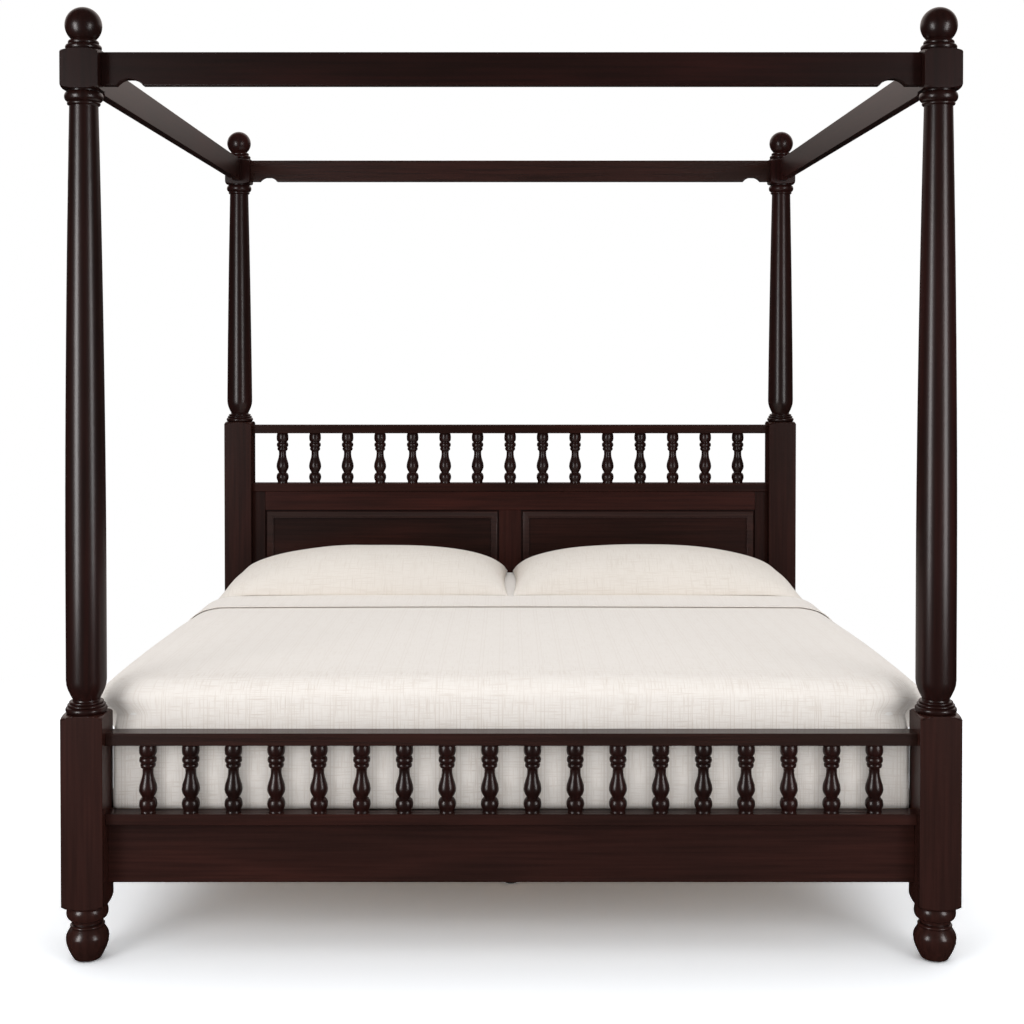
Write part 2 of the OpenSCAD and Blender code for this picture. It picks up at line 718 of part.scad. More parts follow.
module screw_sink(l) {
    rotate_extrude($fn = 20)
        polygon([[0, -l - 1], [screw_r + fit_gap / 2, -l - 1],
            [screw_r + fit_gap / 2, -screw_head_t - fit_gap], [screw_head_r + fit_gap, 0],
            [screw_head_r + fit_gap, 1], [0, 1]]);
}

module ledger(left) {
    color(inner_wood) mirror([left ? 0 : 1, 0, 0]) difference() {
        translate([-rail_inner_x, -ledger_len / 2, ledger_z]) cube([ledger_side, ledger_len, ledger_side]);
        ledger_screw_places() screw_sink(ledger_screw_l);
        for (i = [0:slat_count - 1])
            translate([-slat_screw_x, slat_y(i), slat_top_z]) screw_sink(slat_screw_l);
    }
}

// Slats on the ledgers, and the beam under their middle
slat_half = rail_inner_x - slat_gap;
slat_screw_x = slat_half - slat_screw_inset;
function slat_y(i) = spread(slat_count, clear_y / 2 - slat_end_gap - slat_w, i);
beam_y0 = -post_y + foot_board_t;
beam_y1 = post_y - frame_t / 2;
beam_z = slat_top_z - slat_t - beam_h;
function beam_leg_y(i) = spread(beam_leg_count + 2, post_y, i + 1);

module slats() {
    color(inner_wood) for (i = [0:slat_count - 1]) difference() {
        translate([-slat_half, slat_y(i) - slat_w / 2, slat_top_z - slat_t])
            cube([2 * slat_half, slat_w, slat_t]);
        for (s = [-1, 1])
            translate([s * slat_screw_x, slat_y(i), slat_top_z]) screw_sink(slat_screw_l);
    }
}

module centre_beam() {
    color(inner_wood) translate([-beam_w / 2, beam_y0, beam_z]) cube([beam_w, beam_y1 - beam_y0, beam_h]);
}

module beam_legs() {
    z0 = leveller_t;
    color(inner_wood) for (i = [0:beam_leg_count - 1]) translate([0, beam_leg_y(i), 0]) difference() {
        translate([-beam_leg_side / 2, -beam_leg_side / 2, z0])
            cube([beam_leg_side, beam_leg_side, beam_z - z0]);
        translate([0, 0, z0 - 1])
            cylinder(r = leveller_stem_r + fit_gap / 2, h = leveller_stem_l + 2, $fn = 24);
    }
}

module beam_levellers() {
    color(nylon) for (i = [0:beam_leg_count - 1]) translate([0, beam_leg_y(i), 0]) {
        cylinder(r = leveller_r, h = leveller_t, $fn = 32);
        cylinder(r = leveller_stem_r, h = leveller_t + leveller_stem_l, $fn = 24);
    }
}

// Cleats that carry the beam's ends on the footboard and on the headboard
cleat_w = beam_w + 2 * cleat_side;
module cleat_screw_places(foot) {
    for (s = [-1, 1])
        translate([s * (cleat_w / 2 - cleat_screw_inset), foot ? beam_y0 + cleat_d : beam_y1 - cleat_d,
                beam_z - cleat_h / 2])
            rotate([foot ? -90 : 90, 0, 0]) children();
}

module beam_cleats() {
    color(inner_wood) for (foot = [true, false]) difference() {
        translate([-cleat_w / 2, foot ? beam_y0 : beam_y1 - cleat_d, beam_z - cleat_h])
            cube([cleat_w, cleat_d, cleat_h]);
        cleat_screw_places(foot) screw_sink(cleat_screw_l);
    }
}

module frame_screws() {
    color(steel) {
        for (left = [true, false]) mirror([left ? 0 : 1, 0, 0]) ledger_screw_places() screw(ledger_screw_l);
        for (foot = [true, false]) cleat_screw_places(foot) screw(cleat_screw_l);
    }
}

module slat_screws() {
    color(steel) for (i = [0:slat_count - 1], s = [-1, 1])
        translate([s * slat_screw_x, slat_y(i), slat_top_z]) screw(slat_screw_l);
}

module column_studs() {
    color(steel) for (left = [true, false], foot = [true, false]) at_post(left, foot)
        translate([0, 0, (foot ? foot_leg_top_z : head_leg_top_z) - stud_l / 2])
            cylinder(r = stud_r, h = stud_l, $fn = 32);
}

module canopy_pins() {
    color(steel) for (left = [true, false], foot = [true, false]) at_post(left, foot)
        for (turn = [0, 1]) mirror([turn, -turn, 0])
            translate([canopy_pin_offset, 0, tester_top_z - canopy_pin_l])
                cylinder(r = canopy_pin_r, h = canopy_pin_l - fit_gap, $fn = 24);
}

// One hook plate: a flat plate in the rail's end and two hooks that drop over the pins
module hook_plate() {
    translate([-plate_w / 2, 0, -plate_h / 2]) cube([plate_w, plate_t, plate_h]);
    for (i = [-1, 1])
        translate([-hook_t / 2, 0, i * hook_spread / 2]) rotate([90, 0, 90]) linear_extrude(hook_t)
            difference() {
                translate([-hook_l, -hook_h / 2]) square([hook_l + 1, hook_h]);
                translate([hook_pin_y - leg_side / 2, 0]) circle(r = hook_pin_r + fit_gap / 2, $fn = 32);
                translate([hook_pin_y - leg_side / 2 - hook_pin_r - fit_gap / 2, -hook_h / 2 - 1])
                    square([2 * hook_pin_r + fit_gap, hook_h / 2 + 1]);
            }
}

module hook_plates() {
    color(steel) for (left = [true, false], foot = [true, false]) at_post(left, foot)
        translate([rail_local_x, leg_side / 2, hook_mid_z]) hook_plate();
}

module hook_pins() {
    color(steel) for (left = [true, false], foot = [true, false]) at_post(left, foot)
        for (i = [-1, 1])
            translate([leg_side / 2 - hook_pin_l, hook_pin_y, hook_mid_z + i * hook_spread / 2])
                rotate([0, 90, 0]) cylinder(r = hook_pin_r, h = hook_pin_l, $fn = 32);
}

module foot_glides() {
    color(nylon) for (left = [true, false], foot = [true, false]) at_post(left, foot)
        cylinder(r = glide_r, h = glide_t, $fn = 48);
}

// Outline of a rounded rectangle at height z, from half sizes and a corner radius
function ring(hx, hy, r, z) = [for (q = [0:3], k = [0:corner_steps])
    let (a = 90 * q + 90 * k / corner_steps, sx = q == 0 || q == 3 ? 1 : -1, sy = q < 2 ? 1 : -1)
    [sx * (hx - r) + r * cos(a), sy * (hy - r) + r * sin(a), z]];

// Rings of a padded box: rounded lower edge, sides, rounded upper edge and crown
function pad_rings(hx, hy, h, corner, edge, crown) = concat(
    [for (k = [0:edge_steps]) let (a = 90 * k / edge_steps, inset = edge * (1 - sin(a)))
        ring(hx - inset, hy - inset, corner - inset, edge * (1 - cos(a)))],
    [for (k = [0:edge_steps]) let (a = 90 * k / edge_steps, inset = edge * (1 - cos(a)))
        ring(hx - inset, hy - inset, corner - inset, h - edge + edge * sin(a))],
    [for (k = [1:crown_steps]) let (t = k / (crown_steps + 1), inset = edge + t * (hx - edge))
        ring(hx - inset, hy - inset, (corner - edge) * (1 - t), h + crown * (1 - (1 - t) * (1 - t)))]);

// A closed body through a list of rings, with a point at the middle of each end
module ring_body(rings, low_z, high_z) {
    n = len(rings[0]);
    count = len(rings);
    points = concat([for (r = rings) each r], [[0, 0, low_z], [0, 0, high_z]]);
    low = count * n;
    faces = concat(
        [for (i = [0:count - 2], j = [0:n - 1]) let (k = (j + 1) % n)
            [i * n + j, i * n + k, (i + 1) * n + k]],
        [for (i = [0:count - 2], j = [0:n - 1]) let (k = (j + 1) % n)
            [i * n + j, (i + 1) * n + k, (i + 1) * n + j]],
        [for (j = [0:n - 1]) [low, (j + 1) % n, j]],
        [for (j = [0:n - 1]) [low + 1, low - n + j, low - n + (j + 1) % n]]);
    polyhedron(points, [for (f = faces) [f[2], f[1], f[0]]], convexity = 4);
}

// The mattress grown by a margin on its sides and by another on its top
module grown_mattress(side, top, crown) {
    translate([0, 0, slat_top_z])
        ring_body(pad_rings(mattress_w / 2 + side, mattress_l / 2 + side, mattress_t + top,
            mattress_corner_r + side, mattress_edge_r + side, crown), 0, mattress_t + top + crown);
}

// Everything above a height and on the foot side of a plane across the bed
module cover_space(z, y) {
    translate([-mattress_w, -mattress_l, z]) cube([2 * mattress_w, mattress_l + y, 2 * mattress_t]);
}

module mattress() {
    color(cotton) grown_mattress(0, 0, 0);
}

hem_z = slat_top_z + hem_rise;
sheet_in = soft_gap;
sheet_out = soft_gap + sheet_t;
coverlet_in = sheet_out + soft_gap;
pillow_front_y = post_y - frame_t / 2 - pillow_head_gap - pillow_w;

module fitted_sheet() {
    color(cotton) intersection() {
        difference() {
            grown_mattress(sheet_out, sheet_out, 0);
            grown_mattress(sheet_in, sheet_in, 0);
        }
        cover_space(hem_z, mattress_l);
    }
}

module coverlet() {
    color(linen) intersection() {
        difference() {
            grown_mattress(coverlet_in + coverlet_side_t, coverlet_in + coverlet_top_t, coverlet_crown);
            grown_mattress(coverlet_in, coverlet_in, 0);
        }
        cover_space(hem_z, pillow_front_y - coverlet_head_gap);
    }
}

// Fullness of a pillow over its plan, from 0 at the seam to 1 in the middle
function fullness(u, v) = pow(1 - pow(abs(u), 2.6), 0.6) * pow(1 - pow(abs(v), 2.2), 0.7);

// A point of the pillow's upper or lower face
function pillow_point(u, v, up) =
    let (f = fullness(u, v),
        x = u * (pillow_l / 2 - pillow_end_draw * (1 - v * v)),
        y = v * (pillow_w / 2 - pillow_edge_draw * (1 - u * u)))
    [x, y, up ? pillow_seam_h + (pillow_t - pillow_seam_h) * f : pillow_seam_h * pow(1 - f, 3)];

// Two triangles for a cell, cut from corner a to c or from b to d, so that
// the cut ends in the pillow's corners and no triangle lies in the seam
function two_faces(a, b, c, d, from_a) = from_a ? [[a, b, c], [a, c, d]] : [[a, b, d], [b, c, d]];

module pillow(left) {
    nl = pillow_cells_l;
    nw = pillow_cells_w;
    function at_u(i) = sin(90 * (2 * i / nl - 1));
    function at_v(j) = sin(90 * (2 * j / nw - 1));
    function top_id(i, j) = i * (nw + 1) + j;
    function on_seam(i, j) = i == 0 || j == 0 || i == nl || j == nw;
    function low_id(i, j) = on_seam(i, j) ? top_id(i, j) : top_id(i, j) + (nl + 1) * (nw + 1);
    points = concat([for (i = [0:nl], j = [0:nw]) pillow_point(at_u(i), at_v(j), true)],
        [for (i = [0:nl], j = [0:nw]) pillow_point(at_u(i), at_v(j), false)]);
    function rising(i, j) = (2 * i < nl) == (2 * j < nw);
    top_faces = [for (i = [0:nl - 1], j = [0:nw - 1]) each two_faces(
        top_id(i, j), top_id(i, j + 1), top_id(i + 1, j + 1), top_id(i + 1, j), rising(i, j))];
    low_faces = [for (i = [0:nl - 1], j = [0:nw - 1]) each two_faces(
        low_id(i, j), low_id(i + 1, j), low_id(i + 1, j + 1), low_id(i, j + 1), rising(i, j))];
    color(linen) translate([side_sign(left) * (pillow_l / 2 + soft_gap),
            pillow_front_y + pillow_w / 2,
            slat_top_z + mattress_t + sheet_out + soft_gap])
        polyhedron(points, concat(top_faces, low_faces), convexity = 4);
}

leg_foot(true);  // leg_foot_left
leg_foot(false);  // leg_foot_right
leg_head(true);  // leg_head_left
leg_head(false);  // leg_head_right
column(true, true);  // column_foot_left
column(false, true);  // column_foot_right
column(true, false);  // column_head_left
column(false, false);  // column_head_right
finial(true, true);  // finial_foot_left
finial(false, true);  // finial_foot_right
finial(true, false);  // finial_head_left
finial(false, false);  // finial_head_right
canopy_rail_end(true);  // canopy_rail_foot
canopy_rail_end(false);  // canopy_rail_head
canopy_rail_side(true);  // canopy_rail_left
canopy_rail_side(false);  // canopy_rail_right
footboard_top_rail();
footboard_shelf();
footboard_board();
footboard_spindles();
headboard_top_rail();
headboard_gallery_rail();
headboard_spindles();
frame_top_rail();
frame_bottom_rail();
stile(true);  // stile_left
stile(false);  // stile_right
muntin();
panel(true);  // panel_left
panel(false);  // panel_right
panel_moulding(true);  // panel_moulding_left
panel_moulding(false);  // panel_moulding_right
side_rail(true);  // side_rail_left
side_rail(false);  // side_rail_right
ledger(true);  // ledger_left
ledger(false);  // ledger_right
centre_beam();
beam_legs();
beam_cleats();
slats();
mattress();
fitted_sheet();
coverlet();
pillow(true);  // pillow_left
pillow(false);  // pillow_right
column_studs();
canopy_pins();
hook_plates();
hook_pins();
foot_glides();
beam_levellers();
frame_screws();
slat_screws();
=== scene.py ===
import math
import bpy
import bmesh
import numpy as np
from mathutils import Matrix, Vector, noise


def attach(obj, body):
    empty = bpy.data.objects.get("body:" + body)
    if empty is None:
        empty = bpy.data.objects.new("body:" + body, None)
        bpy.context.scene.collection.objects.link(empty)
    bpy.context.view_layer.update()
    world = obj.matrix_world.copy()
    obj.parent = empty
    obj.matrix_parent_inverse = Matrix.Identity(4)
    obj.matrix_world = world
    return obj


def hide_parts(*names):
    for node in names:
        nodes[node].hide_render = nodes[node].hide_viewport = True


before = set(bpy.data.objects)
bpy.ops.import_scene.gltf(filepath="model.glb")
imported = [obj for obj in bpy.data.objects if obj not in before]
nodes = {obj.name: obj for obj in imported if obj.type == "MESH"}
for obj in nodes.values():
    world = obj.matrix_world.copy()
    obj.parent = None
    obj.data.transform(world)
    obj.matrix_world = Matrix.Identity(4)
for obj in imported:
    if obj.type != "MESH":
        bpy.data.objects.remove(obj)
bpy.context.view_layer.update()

print("Frame loaded:", len(nodes), "CAD nodes")


def linear(hexColour):  # an sRGB hex colour as linear RGBA
    parts = [int(hexColour[i:i + 2], 16) / 255 for i in (1, 3, 5)]
    return [p / 12.92 if p <= 0.04045 else ((p + 0.055) / 1.055) ** 2.4 for p in parts] + [1.0]


def feed(node, values):  # a value goes into its socket, and another node's socket is linked to it
    for socket, value in values.items():
        if isinstance(value, bpy.types.NodeSocket):
            node.id_data.links.new(value, node.inputs[socket])
        else:
            node.inputs[socket].default_value = value


def addNode(tree, kind, values=None, **settings):
    node = tree.nodes.new(kind)
    for name, value in settings.items():
        setattr(node, name, value)
    feed(node, values or {})
    return node


def calculate(tree, operation, first, second=0.0):
    return addNode(tree, "ShaderNodeMath", {0: first, 1: second}, operation=operation).outputs[0]


def mapRange(tree, value, source, target=(0.0, 1.0), eased=False):
    limits = {"From Min": source[0], "From Max": source[1], "To Min": target[0], "To Max": target[1]}
    kind = "SMOOTHSTEP" if eased else "LINEAR"
    return addNode(tree, "ShaderNodeMapRange", {"Value": value, **limits}, interpolation_type=kind).outputs[0]


def blend(tree, factor, first, second):  # two colours
    values = {"Factor": factor, "A": first, "B": second}
    return addNode(tree, "ShaderNodeMix", values, data_type="RGBA").outputs["Result"]


def grain(tree, place, scale, detail=2.0, roughness=0.5, distortion=0.0):
    values = {"Vector": place, "Scale": scale, "Detail": detail, "Roughness": roughness, "Distortion": distortion}
    return addNode(tree, "ShaderNodeTexNoise", values).outputs[0]


def drawnOut(tree, axis, share):  # object coordinates, drawn out along one axis
    place = addNode(tree, "ShaderNodeTexCoord").outputs["Object"]
    scale = [share if name == axis else 1 for name in "XYZ"]
    return addNode(tree, "ShaderNodeMapping", {"Vector": place, "Scale": scale}).outputs[0]


def emptyTree(owner):  # the cleared node tree of a material or a world
    owner.use_nodes = True
    owner.node_tree.nodes.clear()
    return owner.node_tree


def newMaterial(name):
    material = bpy.data.materials.new(name)
    tree = emptyTree(material)
    shader = addNode(tree, "ShaderNodeBsdfPrincipled")
    addNode(tree, "ShaderNodeOutputMaterial", {"Surface": shader.outputs[0]})
    return material, tree, shader


def addObject(name, data):
    made = bpy.data.objects.new(name, data)
    bpy.context.scene.collection.objects.link(made)
    return made


view = {
    "lens": 53.615, "sensor": 36.0, "shiftX": 0.00365, "shiftY": -0.1355, "reach": 200,
    "place": (-0.007, -4.701, 1.4706), "tiltDown": 0.966,
}


def makeCamera():
    data = bpy.data.cameras.new("photoCamera")
    data.lens, data.sensor_width, data.clip_end = view["lens"], view["sensor"], view["reach"]
    data.shift_x, data.shift_y = view["shiftX"], view["shiftY"]
    camera = addObject("photoCamera", data)
    camera.location = view["place"]
    camera.rotation_euler = (math.radians(90 - view["tiltDown"]), 0, 0)
    bpy.context.scene.camera = camera


makeCamera()
print("Camera made")


# The keys and the overhead lamp light the bed evenly. The shine boxes only give the lacquer
# its two soft highlights on each post. Places and sizes are in metres, powers in watts.
lamps = {
    "keyLeft": {"place": (-3.0, -4.3, 1.9), "target": (0, -0.6, 0.9), "size": (1.7, 2.4), "power": 56},
    "keyRight": {"place": (3.0, -4.3, 1.9), "target": (0, -0.6, 0.9), "size": (1.7, 2.4), "power": 42},
    "shineLeft": {"place": (-3.12, -3.85, 1.45), "target": (0, -0.4, 1.45), "size": (1.1, 2.5), "power": 170},
    "shineRight": {"place": (3.12, -3.85, 1.45), "target": (0, -0.4, 1.45), "size": (1.1, 2.5), "power": 115},
    "overhead": {"place": (0.0, 0.4, 4.2), "target": (0, 0.4, 0), "size": (3.2, 3.6), "power": 30},
}
room = {
    "fill": 0.76, "front": 0.01, "back": 1.9, "backFrom": 0.25, "backTo": 0.8,
    "low": 0.06, "wallFrom": 0.104, "wallTo": 0.23, "wallTint": "#FFF2EC",
}
ground = {
    "half": 60, "below": 0.0005, "colour": "#E4E4E4", "shown": (1.335, 1.36, 1.395, 1.0), "lifted": 0.03,
    "mirrored": 0.015, "whiteFrom": 1.9, "whiteTo": 3.0,
}
white = (1, 1, 1, 1)


def makeLamp(name, look):
    data = bpy.data.lights.new(name, "AREA")
    data.shape, data.energy = "RECTANGLE", look["power"]
    data.size, data.size_y = look["size"]
    lamp = addObject(name, data)
    lamp.location = look["place"]
    lamp.rotation_euler = (Vector(look["target"]) - Vector(look["place"])).to_track_quat("-Z", "Y").to_euler()
    shines = name.startswith("shine")
    lamp.visible_camera, lamp.visible_diffuse, lamp.visible_glossy = False, not shines, shines


def makeWorld():
    # The camera sees white, diffuse rays an even fill, and the lacquer a dark room with a pale wall behind the bed
    world = bpy.data.worlds.new("studioWorld")
    bpy.context.scene.world = world
    tree = emptyTree(world)
    place = addNode(tree, "ShaderNodeTexCoord")
    parts = addNode(tree, "ShaderNodeSeparateXYZ", {0: place.outputs["Generated"]})
    behind = mapRange(tree, parts.outputs["Y"], (room["backFrom"], room["backTo"]), (room["front"], room["back"]), True)
    above = mapRange(tree, parts.outputs["Z"], (room["wallFrom"], room["wallTo"]), (room["low"], 1.0), True)
    wall = calculate(tree, "MULTIPLY", behind, above)
    ray = addNode(tree, "ShaderNodeLightPath")
    level = addNode(tree, "ShaderNodeMix", {"Factor": ray.outputs["Is Glossy Ray"], "A": room["fill"], "B": wall})
    final = addNode(tree, "ShaderNodeMix", {"Factor": ray.outputs["Is Camera Ray"], "A": level.outputs[0], "B": 1.0})
    tint = blend(tree, ray.outputs["Is Glossy Ray"], white, linear(room["wallTint"]))
    light = addNode(tree, "ShaderNodeBackground", {"Color": tint, "Strength": final.outputs[0]})
    addNode(tree, "ShaderNodeOutputWorld", {0: light.outputs[0]})


def paintedFloor():
    # Painted floor: the camera sees it lit up to white, and pure white from a few steps away
    material = bpy.data.materials.new("paintedFloor")
    tree = emptyTree(material)

    def mix(factor, first, second):
        return addNode(tree, "ShaderNodeMixShader", {0: factor, 1: first, 2: second}).outputs[0]
    plain, shown, mirrored = (addNode(tree, "ShaderNodeBsdfDiffuse", {"Color": colour}).outputs[0] for colour in
                              (linear(ground["colour"]), ground["shown"], [ground["mirrored"]] * 3 + [1.0]))
    pure, lift = (addNode(tree, "ShaderNodeEmission", {"Color": white, "Strength": level}).outputs[0]
                  for level in (1.0, ground["lifted"]))
    place = addNode(tree, "ShaderNodeTexCoord")
    reach = addNode(tree, "ShaderNodeVectorMath", {0: place.outputs["Object"]}, operation="LENGTH")
    away = mapRange(tree, reach.outputs["Value"], (ground["whiteFrom"], ground["whiteTo"]), eased=True)
    near = addNode(tree, "ShaderNodeAddShader", {0: shown, 1: lift}).outputs[0]
    ray = addNode(tree, "ShaderNodeLightPath")
    other = mix(ray.outputs["Is Glossy Ray"], plain, mirrored)
    surface = mix(ray.outputs["Is Camera Ray"], other, mix(away, near, pure))
    addNode(tree, "ShaderNodeOutputMaterial", {0: surface})
    return material


def makeFloor():
    half = ground["half"]
    mesh = bpy.data.meshes.new("floor")
    mesh.from_pydata([(-half, -half, 0), (half, -half, 0), (half, half, 0), (-half, half, 0)], [], [(0, 1, 2, 3)])
    mesh.materials.append(paintedFloor())
    floor = addObject("floor", mesh)
    floor.location.z = -ground["below"]


for name, look in lamps.items():
    makeLamp(name, look)
makeWorld()
makeFloor()
bpy.context.scene.view_settings.view_transform = "Standard"
print("Studio made")


# The turned parts and the thin canopy rails take a darker copy of the stain: painted shade.
# The headboard's wide boards take a darker copy again with a thinner coat, so they are darker and flatter than the
# footboard's: painted shade. The frame round its panels is redder, and two rails that catch the light are the shiniest.
stains = {
    "flat": {"deep": "#1F110E", "mid": "#2D1915", "warm": "#381D18", "coat": 0.5, "coatRoughness": 0.25},
    "rail": {"deep": "#1D100D", "mid": "#2B1813", "warm": "#361C17", "coat": 1.0, "coatRoughness": 0.25},
    # a darker copy of the stain for the turned parts and the thin canopy rails: painted shade
    "turned": {"deep": "#140A08", "mid": "#200F0C", "warm": "#2B120F", "coat": 0.5, "coatRoughness": 0.29},
    "shaded": {"deep": "#180D0A", "mid": "#261410", "warm": "#311813", "coat": 0.17, "coatRoughness": 0.25},
    "middle": {"deep": "#21110E", "mid": "#331914", "warm": "#3E1D18", "coat": 0.17, "coatRoughness": 0.25},
}
espresso = {
    "roughness": 0.6, "streakMm": 2.6, "streakShare": 0.03, "streakDepth": 0.55, "cloudMm": 260, "cloudShare": 0.22,
    "relief": 0.08, "reliefMm": 0.4, "streakEdges": (0.35, 0.62), "cloudEdges": (0.36, 0.66),
}


def stainedWood(axis, look):
    # Hardwood with an espresso stain under satin lacquer: nearly black-brown with a red cast,
    # faint streaks along the grain and soft broad highlights. Real pores are 0.2 mm wide;
    # here they are drawn 2.6 mm wide, so that they show.
    stain = stains[look]
    material, tree, shader = newMaterial("stainedHardwood" + look.capitalize() + axis)
    streak = grain(tree, drawnOut(tree, axis, espresso["streakShare"]), 1000 / espresso["streakMm"] / 4, 3.0, 0.6)
    cloud = grain(tree, drawnOut(tree, axis, espresso["cloudShare"]), 1000 / espresso["cloudMm"] * 2)
    tone = mapRange(tree, cloud, espresso["cloudEdges"])
    dark = mapRange(tree, streak, espresso["streakEdges"], (espresso["streakDepth"], 0.0))
    colour = blend(tree, dark, blend(tree, tone, linear(stain["mid"]), linear(stain["warm"])), linear(stain["deep"]))
    bump = addNode(tree, "ShaderNodeBump", {"Height": streak, "Strength": espresso["relief"],
                   "Distance": espresso["reliefMm"] / 1000})
    feed(shader, {"Base Color": colour, "Normal": bump.outputs[0], "Roughness": espresso["roughness"],
                  "Specular IOR Level": 0.0, "Coat Weight": stain["coat"], "Coat Roughness": stain["coatRoughness"]})
    return material


pine = {"pale": "#C9A274", "late": "#A97B4C", "ringMm": 7.0, "ringShare": 0.04, "lateEdges": (0.45, 0.62),
        "roughness": 0.75}


def rawPine(axis):
    # Planed, unfinished pine: yellow-brown with long late-wood lines; matt
    material, tree, shader = newMaterial("planedPine" + axis)
    ring = grain(tree, drawnOut(tree, axis, pine["ringShare"]), 1000 / pine["ringMm"] / 2, 4.0, 0.55, 0.4)
    late = mapRange(tree, ring, pine["lateEdges"])
    feed(shader, {"Base Color": blend(tree, late, linear(pine["pale"]), linear(pine["late"])),
                  "Roughness": pine["roughness"]})
    return material


metal = {"zinc": "#B9BCBE", "roughness": 0.34, "uneven": 0.08, "spangleMm": 1.5}


def zincSteel():
    # Zinc-plated steel: pale grey metal with a faint cloudy sheen
    material, tree, shader = newMaterial("zincPlatedSteel")
    place = addNode(tree, "ShaderNodeTexCoord")
    cloud = grain(tree, place.outputs["Object"], 1000 / metal["spangleMm"] / 4)
    limits = (metal["roughness"] - metal["uneven"], metal["roughness"] + metal["uneven"])
    feed(shader, {"Base Color": linear(metal["zinc"]), "Metallic": 1.0,
                  "Roughness": mapRange(tree, cloud, (0.0, 1.0), limits)})
    return material


plastic = {"nylon": "#1B1B1C", "roughness": 0.5}


def blackNylon():
    # Moulded black nylon: dark and satin
    material, tree, shader = newMaterial("mouldedNylon")
    feed(shader, {"Base Color": linear(plastic["nylon"]), "Roughness": plastic["roughness"]})
    return material


welding = {"Weld distance": 0.00002, "Sharp angle": 0.62}


def newGeometryTree(name, sockets):
    tree = bpy.data.node_groups.new(name, "GeometryNodeTree")
    tree.interface.new_socket("Geometry", in_out="INPUT", socket_type="NodeSocketGeometry")
    tree.interface.new_socket("Geometry", in_out="OUTPUT", socket_type="NodeSocketGeometry")
    for socket, kind in sockets.items():
        tree.interface.new_socket(socket, in_out="INPUT", socket_type="NodeSocket" + kind)
    return tree, addNode(tree, "NodeGroupInput").outputs


def weldTree():  # the CAD model's own facets, joined and shaded smooth up to an angle
    tree, given = newGeometryTree("weldAndShade", {name: "Float" for name in welding})
    merged = addNode(tree, "GeometryNodeMergeByDistance", {"Geometry": given["Geometry"],
                     "Distance": given["Weld distance"]})
    bare = addNode(tree, "GeometryNodeRemoveAttribute", {"Geometry": merged.outputs[0], "Name": "custom_normal"})
    soft = addNode(tree, "GeometryNodeSetShadeSmooth", {"Geometry": bare.outputs[0], "Shade Smooth": True},
                   domain="FACE")
    angle = addNode(tree, "GeometryNodeInputMeshEdgeAngle")
    under = addNode(tree, "FunctionNodeCompare", {0: angle.outputs[0], 1: given["Sharp angle"]},
                    data_type="FLOAT", operation="LESS_THAN")
    edged = addNode(tree, "GeometryNodeSetShadeSmooth", {"Geometry": soft.outputs[0],
                    "Shade Smooth": under.outputs[0]}, domain="EDGE")
    addNode(tree, "NodeGroupOutput", {"Geometry": edged.outputs[0]})
    return tree


def addTree(piece, tree, values):
    used = piece.modifiers.new(tree.name, "NODES")
    used.node_group = tree
    for item in tree.interface.items_tree:
        if item.name in values:
            used[item.identifier] = values[item.name]


edges = {"woodMm": 1.6, "mouldingMm": 0.5, "pineMm": 1.0, "segments": 2, "fromAngle": 50}
weldAndShade = weldTree()


def finishNode(name, material, edgeMm=0.0):
    piece = nodes[name]
    piece.data.materials.clear()
    piece.data.materials.append(material)
    addTree(piece, weldAndShade, welding)
    if edgeMm:
        bevel = piece.modifiers.new("brokenEdges", "BEVEL")
        bevel.width, bevel.segments = edgeMm / 1000, edges["segments"]
        bevel.limit_method, bevel.angle_limit = "ANGLE", math.radians(edges["fromAngle"])
        bevel.harden_normals, bevel.use_clamp_overlap = True, False


alongGrain = {
    "X": ["canopy_rail_foot", "canopy_rail_head", "footboard_top_rail", "footboard_shelf", "footboard_board",
          "headboard_top_rail", "headboard_gallery_rail", "frame_top_rail", "frame_bottom_rail", "panel_left",
          "panel_right", "panel_moulding_left", "panel_moulding_right"],
    "Y": ["canopy_rail_left", "canopy_rail_right", "side_rail_left", "side_rail_right"],
    "Z": ["leg_foot_left", "leg_foot_right", "leg_head_left", "leg_head_right", "column_foot_left",
          "column_foot_right", "column_head_left", "column_head_right", "finial_foot_left", "finial_foot_right",
          "finial_head_left", "finial_head_right", "footboard_spindles", "headboard_spindles", "stile_left",
          "stile_right", "muntin"],
}
# the canopy rails take the turned parts' darker stain: painted shade
ownLooks = {
    "muntin": "middle", "frame_top_rail": "middle", "footboard_top_rail": "rail", "canopy_rail_head": "rail",
    "canopy_rail_foot": "turned", "canopy_rail_left": "turned", "canopy_rail_right": "turned",
}


def lookOf(name):
    # the turned parts, the canopy rails and the headboard take darker copies of the stain: painted shade
    if name.startswith(("column", "finial")) or name.endswith("spindles"):
        return "turned"
    behind = name.startswith(("leg_head", "headboard", "frame", "panel", "stile")) and "moulding" not in name
    return ownLooks.get(name, "shaded" if behind else "flat")


def edgeOf(name):  # turned parts and panels keep their CAD edges
    if name.startswith(("column", "finial")) or name.endswith("spindles") or name in ("panel_left", "panel_right"):
        return 0
    return edges["mouldingMm" if "moulding" in name else "woodMm"]


woods = {look: {axis: stainedWood(axis, look) for axis in "XYZ"} for look in stains}
for axis, names in alongGrain.items():
    for name in names:
        finishNode(name, woods[lookOf(name)][axis], edgeOf(name))
print("Dark wood finished")

pines = {axis: rawPine(axis) for axis in "XYZ"}
for names, finish, edgeMm in (
        (["slats", "beam_cleats"], pines["X"], edges["pineMm"]),
        (["ledger_left", "ledger_right", "centre_beam"], pines["Y"], edges["pineMm"]),
        (["beam_legs"], pines["Z"], edges["pineMm"]),
        (["column_studs", "canopy_pins", "hook_plates", "hook_pins", "frame_screws", "slat_screws"], zincSteel(), 0),
        (["foot_glides", "beam_levellers"], blackNylon(), 0)):
    for name in names:
        finishNode(name, finish, edgeMm)
print("Pine, steel and nylon finished")


